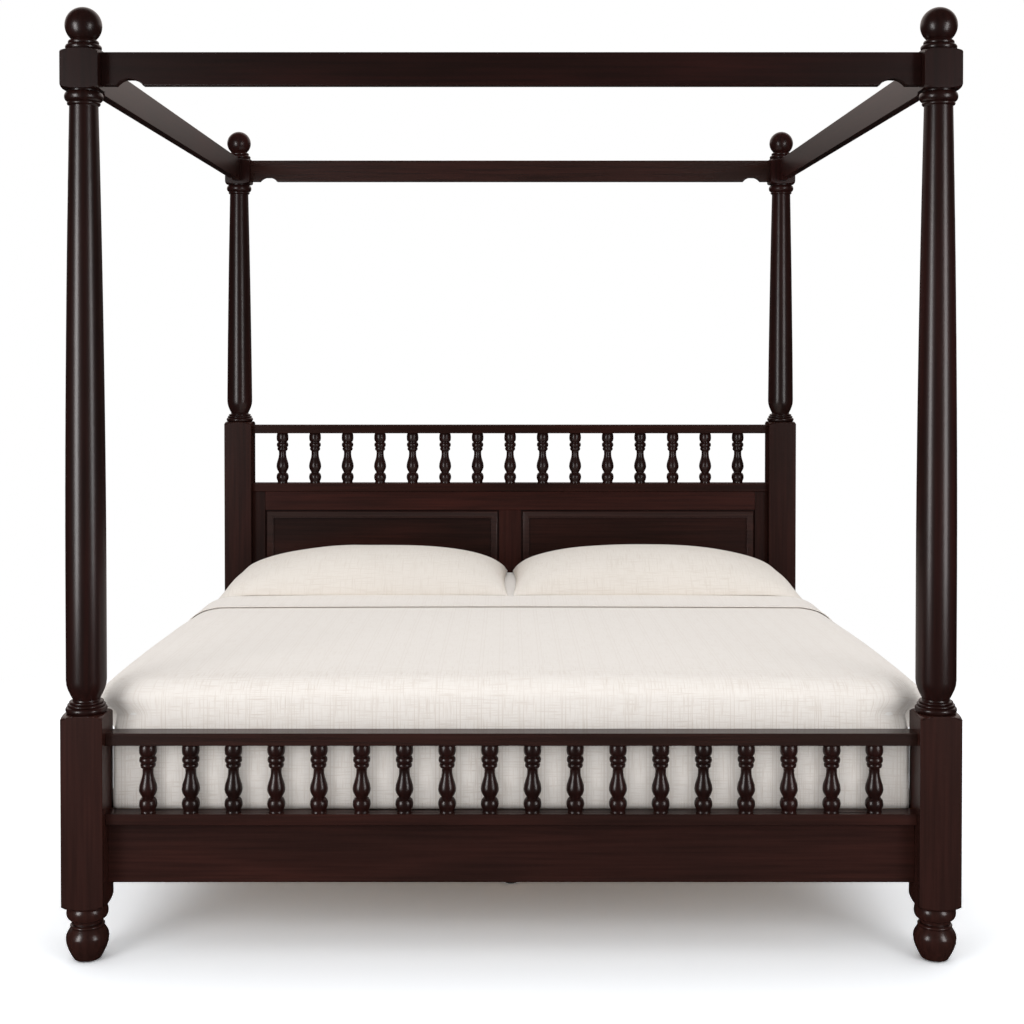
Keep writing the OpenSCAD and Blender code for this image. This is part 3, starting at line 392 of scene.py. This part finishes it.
def plainPiece(name, points, faces, uv=None, weld=0.00015):  # closed seams, faces outward, shaded smooth
    mesh = bpy.data.meshes.new(name)
    mesh.from_pydata([tuple(p) for p in points], [], [tuple(f) for f in faces])
    if uv is not None:
        layer = mesh.uv_layers.new(name="clothFlat")
        layer.data.foreach_set("uv", np.asarray(uv, dtype=np.float32).ravel())
    piece = addObject(name, mesh)
    shaped = bmesh.new()
    shaped.from_mesh(mesh)
    bmesh.ops.remove_doubles(shaped, verts=shaped.verts, dist=weld)
    bmesh.ops.recalc_face_normals(shaped, faces=shaped.faces)
    shaped.to_mesh(mesh)
    shaped.free()
    mesh.polygons.foreach_set("use_smooth", [True] * len(mesh.polygons))
    return piece


def outward(piece):  # an open sheet: turn it so that its faces look away from the bed's middle
    mesh = piece.data
    middle = Vector((0, -0.3, 0.3))
    total = sum(f.normal.dot(f.center - middle) * f.area for f in mesh.polygons)
    if total < 0:
        mesh.flip_normals()


def thicken(piece, thickMm):
    solid = piece.modifiers.new("clothThickness", "SOLIDIFY")
    solid.thickness, solid.offset = thickMm / 1000, 0


def steps(marks, cell):  # grid lines that pass through every mark
    lines = [marks[0]]
    for low, high in zip(marks, marks[1:]):
        count = max(1, round((high - low) / cell))
        lines += [low + (high - low) * (i + 1) / count for i in range(count)]
    return np.array(lines)


def wander(points, scale, seed):  # smooth seeded noise, -1 to 1, one value per point
    shift = Vector((seed * 7.31, seed * 3.17, seed * 1.93))
    return np.array([noise.noise(Vector(p) * scale + shift) for p in points])


def ease(t):
    t = np.clip(t, 0, 1)
    return t * t * (3 - 2 * t)


# Widths and fronts are half sizes from the bed's middle. The edge turns down over a quarter curve,
# then the cloth falls to the hem, which is narrower at the foot, where it passes between the legs.
coverlet = {
    "halfWidth": 1.0405, "front": 1.0235, "cornerRadius": 0.18, "edgeOut": 0.07, "edgeDown": 0.04, "quarter": 0.0895,
    "fall": 0.25, "hemZ": 0.3545, "hemHalfWidth": 0.9705, "legHalfWidth": 0.9672, "hemRadius": 0.012,
    "headZ": 0.6331, "footZ": 0.6560, "riseFrom": 0.18, "riseOver": 0.95, "risePower": 1.7,
    "crown": 0.004, "headCrown": 0.003, "sideDroop": 0.034, "droopFrom": 0.925, "droopOver": 0.125, "droopPower": 1.5,
    "foldY": 0.3895, "foldRadius": 0.0016, "foldCells": 6, "cuff": 0.2165, "tuck": 0.018, "tuckFrom": 0.25,
    "tuckOver": 0.12, "bowMiddle": 0.5, "bowHalf": 0.498, "edgeLift": 0.0022, "edgeReach": 0.045,
    "cell": 0.0115, "thickMm": 2.2,
}
# How the cloth passes the foot legs, its slight waves as (waves, phase, share), its unevenness on top as
# (scale, seed, height), and where that fades out as (from, over)
folds = {
    "narrowFrom": 0.86, "narrowOver": 0.07, "cornerFrom": 0.80, "cornerOver": 0.12,
    "sideHaste": 0.86, "frontDelay": 0.08, "frontHaste": 0.75,
    "first": (23, 1.3), "second": (41, 2, 0.6), "waveHeight": 0.0028, "hollow": 0.0035,
    "frontShare": 0.35, "sideShare": 0.65, "cornerCalm": 0.7,
    "unevenness": ((2.6, 3, 0.0022), (6.5, 5, 0.0009)), "calmLow": (0.40, 0.2), "calmFoot": (1.0, 0.12),
    "calmHead": (0.12, 0.25),
}


def coverletHeight(x, y):
    c = coverlet
    t = np.clip((c["riseFrom"] - y) / c["riseOver"], 0, 1)
    rise = c["headZ"] + (c["footZ"] - c["headZ"]) * (1 - (1 - t) ** c["risePower"])
    middle = (c["headCrown"] + c["crown"] * t) * np.clip(1 - (x / c["droopFrom"]) ** 2, 0, 1)
    side = np.clip((np.abs(x) - c["droopFrom"]) / c["droopOver"], 0, 1.2) ** c["droopPower"]
    return rise + middle - c["sideDroop"] * side


def alongHalf(q, start, half, radius):  # a straight run and half a round corner, q from 0 to 1
    straight = half - radius - start
    travel = q * (straight + radius * math.pi / 4)
    angle = np.maximum(travel - straight, 0) / radius
    run = np.where(travel < straight, start + travel, half - radius + radius * np.sin(angle))
    return run, radius * (1 - np.cos(angle))


def coverletSurface(a, b):  # the flat cloth's coordinates become a place on the bed
    c, f = coverlet, folds
    inner, wide, long = c["cornerRadius"] - c["edgeOut"], c["halfWidth"] - c["edgeOut"], c["front"] - c["edgeOut"]
    across, down = np.abs(a), -b
    px, py = np.minimum(across, wide) - (wide - inner), np.minimum(down, long) - (long - inner)
    corner = (px > 0) & (py > 0)
    length = np.where(corner, np.hypot(px, py), 1.0)
    scale = np.where(corner, np.maximum(px, py) / length, 1.0)
    x = np.where(corner, wide - inner + px * scale, np.minimum(across, wide))
    y = np.where(corner, long - inner + py * scale, np.minimum(down, long))
    onSide, onFront = across > wide, (down > long) & (across <= wide)
    nx = np.where(corner, px / length, onSide * 1.0)
    ny = np.where(corner, py / length, onFront * 1.0)
    over = np.maximum(np.maximum(across - wide, down - long), 0)
    turn = np.minimum(over / c["quarter"], 1) * math.pi / 2
    fallen = np.clip((over - c["quarter"]) / c["fall"], 0, 1)
    # the foot corners tighten on their way down, to pass between the legs, and the sides tuck behind the rails
    sideRun, sideBack = alongHalf(np.clip(py / inner, 0, 1), long - inner, c["front"], c["hemRadius"])
    frontRun, frontBack = alongHalf(np.clip(px / inner, 0, 1), wide - inner, c["legHalfWidth"], c["hemRadius"])
    narrow = ease((down - f["narrowFrom"]) / f["narrowOver"])
    lowHalf = c["hemHalfWidth"] + (c["legHalfWidth"] - c["hemHalfWidth"]) * narrow
    lowX = np.where(onSide, lowHalf - np.where(py > 0, sideBack, 0), np.where(px > 0, frontRun, x))
    lowY = np.where(onSide, np.where(py > 0, sideRun, y), c["front"] - np.where(px > 0, frontBack, 0))
    near = np.where(onSide, ease((down - f["cornerFrom"]) / f["cornerOver"]), 1.0)
    hanging = onSide | onFront
    shareX = ease(fallen / (1 - f["sideHaste"] * near)) * hanging
    shareY = ease((fallen - f["frontDelay"] * near) / (1 - f["frontHaste"] * near)) * hanging
    swell = np.sin(math.pi * fallen) ** 2
    along = np.where(onSide, y, x)
    waves = np.sin(along * f["first"][0] + f["first"][1] * np.sign(a))
    waves = waves + f["second"][2] * np.sin(along * f["second"][0] + f["second"][1])
    ripple = waves * f["waveHeight"] * swell - f["hollow"] * swell
    ripple = ripple * (f["frontShare"] + f["sideShare"] * nx) * (1 - f["cornerCalm"] * near * onSide)
    out = c["edgeOut"] * np.sin(turn) + ripple
    fx = (x + nx * out) * (1 - shareX) + lowX * shareX
    fy = (y + ny * out) * (1 - shareY) + lowY * shareY
    top = coverletHeight(x + nx * out, -y - ny * out) - c["edgeDown"] * (1 - np.cos(turn))
    z = top - fallen * (top - c["hemZ"])
    return np.stack([fx * np.where(a < 0, -1.0, 1.0), -fy, z], axis=-1)


def coverletNormal(a, b, reach=0.002):
    du = coverletSurface(a + reach, b) - coverletSurface(a - reach, b)
    dv = coverletSurface(a, b + reach) - coverletSurface(a, b - reach)
    n = np.cross(du, dv)
    return n / np.linalg.norm(n, axis=-1, keepdims=True)


stitching = {
    "Spacing": 0.0062, "Stitch length": 0.0044, "Thread radius": 0.00055, "Turn": 0.12, "Seed": 4,
    "threadColour": "#CFC4B8", "inset": 0.010, "hemInset": 0.014, "sunk": 0.4,
}


def makeCoverlet():  # the cloth, and the paths of the stitches along its turned-back edge and its hem
    c = coverlet
    inner, wide, long = c["cornerRadius"] - c["edgeOut"], c["halfWidth"] - c["edgeOut"], c["front"] - c["edgeOut"]
    reach = c["quarter"] + c["fall"]
    turned = math.pi * c["foldRadius"]
    right = [0, wide - inner, wide, wide + c["quarter"], wide + reach]
    lineA = steps([-m for m in reversed(right)] + right[1:], c["cell"])
    lineB = steps([-long - reach, -long - c["quarter"], -long, -long + inner, c["foldY"] - c["cuff"], c["foldY"]],
                  c["cell"])
    fold = c["foldY"] + turned * np.arange(1, c["foldCells"] + 1) / c["foldCells"]
    cuff = c["foldY"] + turned + steps([0, c["cuff"]], c["cell"])[1:]
    lineB = np.concatenate([lineB, fold, cuff])
    gridA, gridB = np.meshgrid(lineA, lineB, indexing="ij")
    bend = np.clip((gridB - c["foldY"]) / turned, 0, 1) * math.pi
    back = np.maximum(gridB - c["foldY"] - turned, 0)
    base = np.minimum(gridB, c["foldY"]) - back
    n = coverletNormal(gridA, base)
    points = coverletSurface(gridA, base)
    # the top is a little uneven between the pillows and the footboard
    low, foot, head = folds["calmLow"], folds["calmFoot"], folds["calmHead"]
    calm = np.clip((points[..., 2] - low[0]) / low[1], 0, 1)
    calm *= np.clip((points[..., 1] + foot[0]) / foot[1], 0, 1)
    calm *= np.clip((head[0] - points[..., 1]) / head[1], 0, 1)
    flat = points.reshape(-1, 3)
    uneven = sum(wander(flat, scale, seed) * height for scale, seed, height in folds["unevenness"])
    flat[:, 2] += uneven * calm.ravel()
    points = flat.reshape(points.shape)
    # the folded edge follows the pillows' bowed fronts and lies just under them
    bow = np.clip(1 - ((np.abs(points[..., 0]) - c["bowMiddle"]) / c["bowHalf"]) ** 2, 0, 1)
    points[..., 1] += c["tuck"] * bow * ease((points[..., 1] - c["tuckFrom"]) / c["tuckOver"])
    raised = c["edgeLift"] * ease(1 - (c["cuff"] - back) / c["edgeReach"]) * (back > 0)
    lift = c["foldRadius"] * (1 - np.cos(bend)) + raised * np.clip(n[..., 2], 0, 1)
    points = points + n * lift[..., None]
    points[..., 1] += c["foldRadius"] * np.sin(bend)
    count = len(lineB)
    faces, uv = [], []
    for i in range(len(lineA) - 1):
        for j in range(count - 1):
            if abs(lineA[i] + lineA[i + 1]) / 2 > wide and -(lineB[j] + lineB[j + 1]) / 2 > long:
                continue  # the foot corners are cut out
            corners = [(i, j), (i + 1, j), (i + 1, j + 1), (i, j + 1)]
            faces.append([p * count + q for p, q in corners])
            uv += [(lineA[p], lineB[q]) for p, q in corners]
    above = c["thickMm"] / 2000 + stitching["Thread radius"] * stitching["sunk"]
    edgeRow = int(np.argmin(np.abs(back[0] - (c["cuff"] - stitching["inset"]))))
    inside = np.abs(lineA) < wide + reach - stitching["hemInset"]
    edgePath = points[inside, edgeRow] + n[inside, edgeRow] * above
    hemRow = int(np.argmin(np.abs(lineB + long + reach - stitching["hemInset"])))
    front = np.abs(lineA) < wide
    hemPath = points[front, hemRow] + n[front, hemRow] * above
    piece = plainPiece("coverlet_cloth", points.reshape(-1, 3), faces, uv)
    outward(piece)
    thicken(piece, c["thickMm"])
    return piece, edgePath, hemPath


def cottonThread():
    # Mercerised cotton thread: a shade darker than the linen, slightly silky. Real thread is 0.4 mm thick;
    # it is drawn 1.1 mm thick here, so that it shows.
    material, tree, shader = newMaterial("cottonThread")
    feed(shader, {"Base Color": linear(stitching["threadColour"]), "Roughness": 0.6})
    return material


def stitchTree():  # short rounded stitches along the curves of a path, each a little turned
    kinds = {name: "Float" for name in ("Spacing", "Stitch length", "Thread radius", "Turn")}
    tree, given = newGeometryTree("runningStitch", {**kinds, "Seed": "Int", "Thread": "Material"})
    path = addNode(tree, "GeometryNodeMeshToCurve", {0: given["Geometry"]})
    spots = addNode(tree, "GeometryNodeCurveToPoints", {"Curve": path.outputs[0], "Length": given["Spacing"]},
                    mode="LENGTH")
    ball = addNode(tree, "GeometryNodeMeshUVSphere", {"Segments": 8, "Rings": 6, "Radius": 1.0})
    half = calculate(tree, "MULTIPLY", given["Stitch length"], 0.5)
    size = addNode(tree, "ShaderNodeCombineXYZ", {0: given["Thread radius"], 1: given["Thread radius"], 2: half})
    lean = calculate(tree, "MULTIPLY", given["Turn"], -1.0)
    turn = addNode(tree, "FunctionNodeRandomValue", {2: lean, 3: given["Turn"], "Seed": given["Seed"]},
                   data_type="FLOAT")
    tilt = addNode(tree, "ShaderNodeCombineXYZ", {0: turn.outputs[1], 1: turn.outputs[1]})
    aim = addNode(tree, "FunctionNodeRotateRotation", {0: spots.outputs["Rotation"], 1: tilt.outputs[0]},
                  rotation_space="LOCAL")
    placed = addNode(tree, "GeometryNodeInstanceOnPoints", {"Points": spots.outputs["Points"],
                     "Instance": ball.outputs["Mesh"], "Rotation": aim.outputs[0], "Scale": size.outputs[0]})
    real = addNode(tree, "GeometryNodeRealizeInstances", {0: placed.outputs[0]})
    soft = addNode(tree, "GeometryNodeSetShadeSmooth", {"Geometry": real.outputs[0], "Shade Smooth": True},
                   domain="FACE")
    done = addNode(tree, "GeometryNodeSetMaterial", {"Geometry": soft.outputs[0], "Material": given["Thread"]})
    addNode(tree, "NodeGroupOutput", {"Geometry": done.outputs[0]})
    return tree


def stitchRows(name, paths):  # the paths of points become one plain mesh of stitches
    spots, links = [], []
    for path in paths:
        links += [(len(spots) + k, len(spots) + k + 1) for k in range(len(path) - 1)]
        spots += [tuple(p) for p in path]
    guide = bpy.data.meshes.new(name + "Path")
    guide.from_pydata(spots, links, [])
    piece = addObject(name, guide)
    addTree(piece, stitchTree(), {**stitching, "Thread": cottonThread()})
    mesh = bpy.data.meshes.new_from_object(piece.evaluated_get(bpy.context.evaluated_depsgraph_get()))
    piece.modifiers.clear()
    if mesh.materials[0] is None:
        mesh.materials.pop(index=0)
    piece.data = mesh
    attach(piece, "mattress_and_covers")


mattress = {"halfX": 0.9648, "halfY": 1.0148, "low": 0.3402, "high": 0.6296, "corner": 0.090, "edge": 0.042,
            "cell": 0.03, "fill": 0.95}
fitted = {"halfX": 0.9661, "halfY": 1.0161, "low": 0.3525, "high": 0.6310, "corner": 0.091, "edge": 0.043,
          "cell": 0.012, "thickMm": 1.2}
boxCells = {"corner": 14, "edge": 6, "cap": 12, "least": 0.004}


def boxRing(size, inset):  # a rectangle with round corners, seen from above
    wide, long = size["halfX"] - inset, size["halfY"] - inset
    r, count = max(size["corner"] - inset, boxCells["least"]), boxCells["corner"]
    return [(cx + r * math.cos(math.radians(start + 90 * k / count)),
             cy + r * math.sin(math.radians(start + 90 * k / count)))
            for cx, cy, start in ((wide - r, long - r, 0), (-wide + r, long - r, 90),
                                  (-wide + r, -long + r, 180), (wide - r, -long + r, 270))
            for k in range(count + 1)]


def roundedBox(name, size, closed, shape=None):  # a box of cloth with round edges: a mattress, or a sheet open below
    low, high, edge, cell = size["low"], size["high"], size["edge"], size["cell"]
    turns = [math.pi / 2 * k / boxCells["edge"] for k in range(boxCells["edge"] + 1)]
    levels = [(0.0, low)]
    if closed:
        levels = [(edge * (1 - math.sin(t)), low + edge * (1 - math.cos(t))) for t in turns]
    rows = max(2, round((high - low - 2 * edge) / cell))
    levels += [(0.0, low + edge + (high - low - 2 * edge) * k / rows) for k in range(1, rows)]
    levels += [(edge * (1 - math.cos(t)), high - edge * (1 - math.sin(t))) for t in turns]
    first = boxRing(size, levels[0][0])
    counts = [max(1, round(math.dist(p, q) / cell)) for p, q in zip(first, first[1:] + first[:1])]
    points = []
    for inset, z in levels:
        ring = boxRing(size, inset)
        points += [(p[0] + (q[0] - p[0]) * m / count, p[1] + (q[1] - p[1]) * m / count, z)
                   for p, q, count in zip(ring, ring[1:] + ring[:1], counts) for m in range(count)]
    around = sum(counts)
    if shape:
        points = [tuple(p) for p in shape(np.array(points))]
    faces = [[r * around + k, r * around + (k + 1) % around, (r + 1) * around + (k + 1) % around,
              (r + 1) * around + k] for r in range(len(levels) - 1) for k in range(around)]

    def cap(level, z):  # rings that shrink to a point close the box
        last = [level * around + k for k in range(around)]
        ring = [points[k] for k in last]
        for k in range(1, boxCells["cap"]):
            share = 1 - k / boxCells["cap"]
            fresh = [len(points) + m for m in range(around)]
            points.extend((p[0] * share, p[1] * share, z) for p in ring)
            faces.extend([last[m], last[(m + 1) % around], fresh[(m + 1) % around], fresh[m]] for m in range(around))
            last = fresh
        points.append((0, 0, z))
        faces.extend([last[m], last[(m + 1) % around], len(points) - 1] for m in range(around))
    cap(len(levels) - 1, high)
    if closed:
        cap(0, low)
    return plainPiece(name, points, faces)


gathers = {"top": 0.50, "fade": 0.15, "waves": ((260, 0), (173, 1)), "depth": 0.0011, "ease": 0.0006}


def gathered(points):  # an elastic hem: fine gathers that fade upwards
    spread = np.clip((gathers["top"] - points[:, 2]) / gathers["fade"], 0, 1)
    angle = np.arctan2(points[:, 1], points[:, 0])
    wave = sum(np.sin(angle * rate + phase) * 0.5 for rate, phase in gathers["waves"])
    grow = (wave * gathers["depth"] + gathers["ease"]) * spread
    points[:, :2] *= (1 + grow / np.hypot(points[:, 0], points[:, 1]))[:, None]
    return points


mattressPad = roundedBox("mattress_pad", mattress, True)
sheetCloth = roundedBox("fitted_sheet_cloth", fitted, False, gathered)
thicken(sheetCloth, fitted["thickMm"])
coverletCloth, edgePath, hemPath = makeCoverlet()
stitchRows("coverlet_stitches", [edgePath, hemPath])
print("Mattress, fitted sheet and coverlet made")


# Each end is (flatness, roundness) of the pillow's back from its middle to that end
pillow = {
    "cells": (92, 56), "outer": 0.998, "inner": 0.0018, "front": 0.387, "depth": 0.580, "seamZ": 0.6388,
    "crown": 0.1230, "base": 0.0065, "outerEnd": (2.2, 0.6), "innerEnd": (2.9, 0.45), "sides": (2.2, 0.62),
    "endDraw": 0.020, "innerDraw": 0.5, "edgeDraw": 0.012, "droop": 0.030, "droopFrom": 0.86, "backDroop": 0.6,
    "droopFlat": 0.3, "bedEdge": 0.945, "bedFade": 0.03, "seamFade": 0.02, "apart": 0.4, "cellEase": 0.38,
    "uneven": 0.003, "unevenScale": 7, "fill": 0.7,
    "frames": 18, "pressure": 3.0, "slack": 0.012, "capMm": 7.0, "quality": 6, "mass": 0.3, "stiffness": 30,
    "shear": 12, "bending": 0.8, "damping": 2.0,
}


def pillowShape(u, v, side):  # crowned above the seam, flat where it lies on the sheet
    p = pillow
    flatness, roundness = (np.where(u > 0, inner, outer) for inner, outer in zip(p["innerEnd"], p["outerEnd"]))
    full = (1 - np.abs(u) ** flatness) ** roundness * (1 - np.abs(v) ** p["sides"][0]) ** p["sides"][1]
    draw = p["endDraw"] * (1 - v * v) * np.where(u > 0, p["innerDraw"], 1)
    x = u * ((p["outer"] - p["inner"]) / 2 - draw) - (p["outer"] + p["inner"]) / 2
    y = v * (p["depth"] / 2 - p["edgeDraw"] * (1 - u * u)) + p["front"] + p["depth"] / 2
    tip = np.clip((-x - p["droopFrom"]) / (p["outer"] - p["droopFrom"]), 0, 1) ** 2
    tip = tip * np.clip((np.abs(v) - p["droopFlat"]) / (1 - p["droopFlat"]), 0, 1)
    tip = tip * np.where(v < 0, 1.0, p["backDroop"]) * p["droop"]
    lift = np.where(side > 0, p["crown"] * full, -p["base"] * (1 - (1 - full) ** 3))
    return np.stack([x, y, p["seamZ"] + lift - tip], axis=-1)


def pillowStart(name, seed):
    nx, ny = pillow["cells"]
    index, u, v, sides, faces = {}, [], [], [], []
    for side in (1, -1):
        for i in range(nx + 1):
            for j in range(ny + 1):
                key = (i, j, 0 if i in (0, nx) or j in (0, ny) else side)
                if key not in index:
                    index[key] = len(u)
                    u.append(2 * i / nx - 1)
                    v.append(2 * j / ny - 1)
                    sides.append(side)
        for i in range(nx):
            for j in range(ny):
                quad = [index[(q, r, 0 if q in (0, nx) or r in (0, ny) else side)]
                        for q, r in ((i, j), (i + 1, j), (i + 1, j + 1), (i, j + 1))]
                faces.append(quad if side > 0 else quad[::-1])
    u, v, sides, share = np.array(u), np.array(v), np.array(sides), pillow["cellEase"]
    closer = [(1 - share) * t + share * np.sin(t * math.pi / 2) for t in (u, v)]  # finer cells near the seam
    points = pillowShape(*closer, sides)
    uneven = wander(points, pillow["unevenScale"], seed) * pillow["uneven"] * (sides > 0)
    points[:, 2] += uneven * (1 - np.abs(u) ** 4) * (1 - np.abs(v) ** 4)
    return plainPiece(name, points, faces)


def inflate(piece):  # a short cloth simulation with pressure inside; its shape is taken over as far as capMm
    p = pillow
    start = np.array([v.co[:] for v in piece.data.vertices])
    cloth = piece.modifiers.new("inflate", "CLOTH")
    s = cloth.settings
    s.quality, s.mass, s.effector_weights.gravity = p["quality"], p["mass"], 0.0
    s.tension_stiffness = s.compression_stiffness = p["stiffness"]
    s.shear_stiffness, s.bending_stiffness, s.air_damping = p["shear"], p["bending"], p["damping"]
    s.shrink_min = -p["slack"]
    s.use_pressure, s.uniform_pressure_force = True, p["pressure"]
    cloth.collision_settings.use_self_collision = False
    cloth.point_cache.frame_start, cloth.point_cache.frame_end = 1, p["frames"]
    for step in range(1, p["frames"] + 1):
        bpy.context.scene.frame_set(step)
    shaped = piece.evaluated_get(bpy.context.evaluated_depsgraph_get()).to_mesh()
    moved = np.array([v.co[:] for v in shaped.vertices]) - start
    piece.modifiers.remove(cloth)
    bpy.context.scene.frame_set(1)
    far = np.linalg.norm(moved, axis=1, keepdims=True)
    cap = p["capMm"] / 1000
    moved = moved / np.maximum(far, 1e-9) * cap * np.tanh(far / cap)
    moved[:, 2] *= np.clip((start[:, 2] - p["seamZ"]) / p["seamFade"], 0, 1)  # the seam keeps lying on the bed
    return start + moved


def restPillow(piece, points, mirrored):  # flat where the bed carries it, and clear of the other pillow
    p = pillow
    floor = p["seamZ"] - p["base"]
    onBed = np.clip((p["bedEdge"] + points[:, 0]) / p["bedFade"], 0, 1)
    points[:, 2] = np.where(points[:, 2] < floor, floor * onBed + points[:, 2] * (1 - onBed), points[:, 2])
    points[:, 0] = np.minimum(points[:, 0], -p["inner"] * p["apart"])
    if mirrored:
        points[:, 0] *= -1
        piece.data.flip_normals()
    piece.data.vertices.foreach_set("co", points.astype(np.float32).ravel())
    piece.data.update()
    finer = piece.modifiers.new("finer", "SUBSURF")
    finer.levels = finer.render_levels = 1


def makePillow(name, seed, mirrored):
    piece = pillowStart(name, seed)
    restPillow(piece, inflate(piece), mirrored)
    return piece


leftCase = makePillow("pillow_left_case", 1.7, False)
rightCase = makePillow("pillow_right_case", 8.3, True)
print("Pillows made")


weave = {"detail": 3.0, "roughness": 0.55, "thickEdges": (0.50, 0.72), "patchScale": 5.0,
         "patchEdges": (0.35, 0.65), "patchDepth": (0.75, 1.1), "shift": 7.3, "reliefDistance": 0.001,
         "surface": 0.9, "shine": 0.2}
bedding = {
    "linenOnFlat": {"pale": "#F0EAE4", "slub": "#D6CABF", "slubMm": 1.9, "slubLengthMm": 32, "strength": 0.65,
                    "relief": 0.4, "stripeEvery": 0.051, "stripeApart": 0.009, "stripeWide": 0.0016,
                    "stripeStrength": 0.75, "topShare": 0.4, "slubsFade": (-0.99, -0.80),
                    "stripesFade": (-1.09, -1.0)},
    "pillowLinen": {"pale": "#E6DFD7", "slub": "#D2C7BB", "slubMm": 1.9, "slubLengthMm": 32, "strength": 0.5,
                    "relief": 0.3},
    "ticking": {"pale": "#ECE8E1", "slub": "#DAD4CB", "slubMm": 3.0, "slubLengthMm": 30, "strength": 0.3,
                "relief": 0.2},
}


def chain(tree, value, *pairs):  # math nodes one after the other
    for operation, second in pairs:
        value = calculate(tree, operation, value, second)
    return value


def withStripes(tree, look, source, slubs):
    # Pairs of thicker warp threads every 51 mm, plainest where the cloth turns down at the foot
    parts = addNode(tree, "ShaderNodeSeparateXYZ", {0: source})
    pair = chain(tree, parts.outputs[0], ("MULTIPLY", 1 / look["stripeEvery"]), ("FRACT", 0), ("SUBTRACT", 0.5),
                 ("ABSOLUTE", 0), ("MULTIPLY", look["stripeEvery"]), ("SUBTRACT", look["stripeApart"] / 2),
                 ("ABSOLUTE", 0))
    stripe = mapRange(tree, pair, (0.0, look["stripeWide"]), (look["stripeStrength"], 0.0))
    levels = []
    for level, fade in ((slubs, look["slubsFade"]), (stripe, look["stripesFade"])):
        share = mapRange(tree, parts.outputs[1], fade, (1.0, look["topShare"]), True)
        levels.append(calculate(tree, "MULTIPLY", level, share))
    return calculate(tree, "MAXIMUM", *levels)


def wovenCloth(name, look):
    # Slubbed linen, or the smoother ticking of the mattress: pale threads with thicker, slightly darker
    # ones among them both ways. Real slubs are 1 mm wide; here they are 2 to 3 mm, so that they show
    # from a step away.
    material, tree, shader = newMaterial(name)
    striped = "stripeEvery" in look
    source = addNode(tree, "ShaderNodeTexCoord").outputs["UV" if striped else "Object"]
    size, ratio = 500 / look["slubMm"], look["slubMm"] / look["slubLengthMm"]
    threads = []
    for stretch, shift in (((ratio, 1, 1), 0.0), ((1, ratio, ratio), weave["shift"])):
        turned = addNode(tree, "ShaderNodeMapping", {"Vector": source, "Scale": stretch, "Location": [shift] * 3})
        threads.append(grain(tree, turned.outputs[0], size, weave["detail"], weave["roughness"]))
    both = calculate(tree, "MAXIMUM", *threads)
    thick = mapRange(tree, both, weave["thickEdges"], (0.0, look["strength"]))
    cloud = grain(tree, source, weave["patchScale"])
    patch = mapRange(tree, cloud, weave["patchEdges"], weave["patchDepth"])
    amount = calculate(tree, "MULTIPLY", thick, patch)
    if striped:
        amount = withStripes(tree, look, source, amount)
    bump = addNode(tree, "ShaderNodeBump", {"Height": both, "Strength": look["relief"],
                   "Distance": weave["reliefDistance"]})
    feed(shader, {"Base Color": blend(tree, amount, linear(look["pale"]), linear(look["slub"])),
                  "Normal": bump.outputs[0], "Roughness": weave["surface"], "Specular IOR Level": weave["shine"]})
    return material


# The fitted sheet keeps the frame's own cotton, which is pale, plain and matt: too fine a weave to show
cloths = {name: wovenCloth(name, look) for name, look in bedding.items()}
cloths["cotton"] = nodes["fitted_sheet"].data.materials[0]
for piece, node, body, slot, cloth in (
        (mattressPad, "mattress", "mattress_and_covers", "cotton", "ticking"),
        (sheetCloth, "fitted_sheet", "mattress_and_covers", "cotton", "cotton"),
        (coverletCloth, "coverlet", "mattress_and_covers", "linen", "linenOnFlat"),
        (leftCase, "pillow_left", "pillow_left", "linen", "pillowLinen"),
        (rightCase, "pillow_right", "pillow_right", "linen", "pillowLinen")):
    piece.data.materials.append(cloths[cloth])
    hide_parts(node)
    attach(piece, body)
print("Bedding finished")
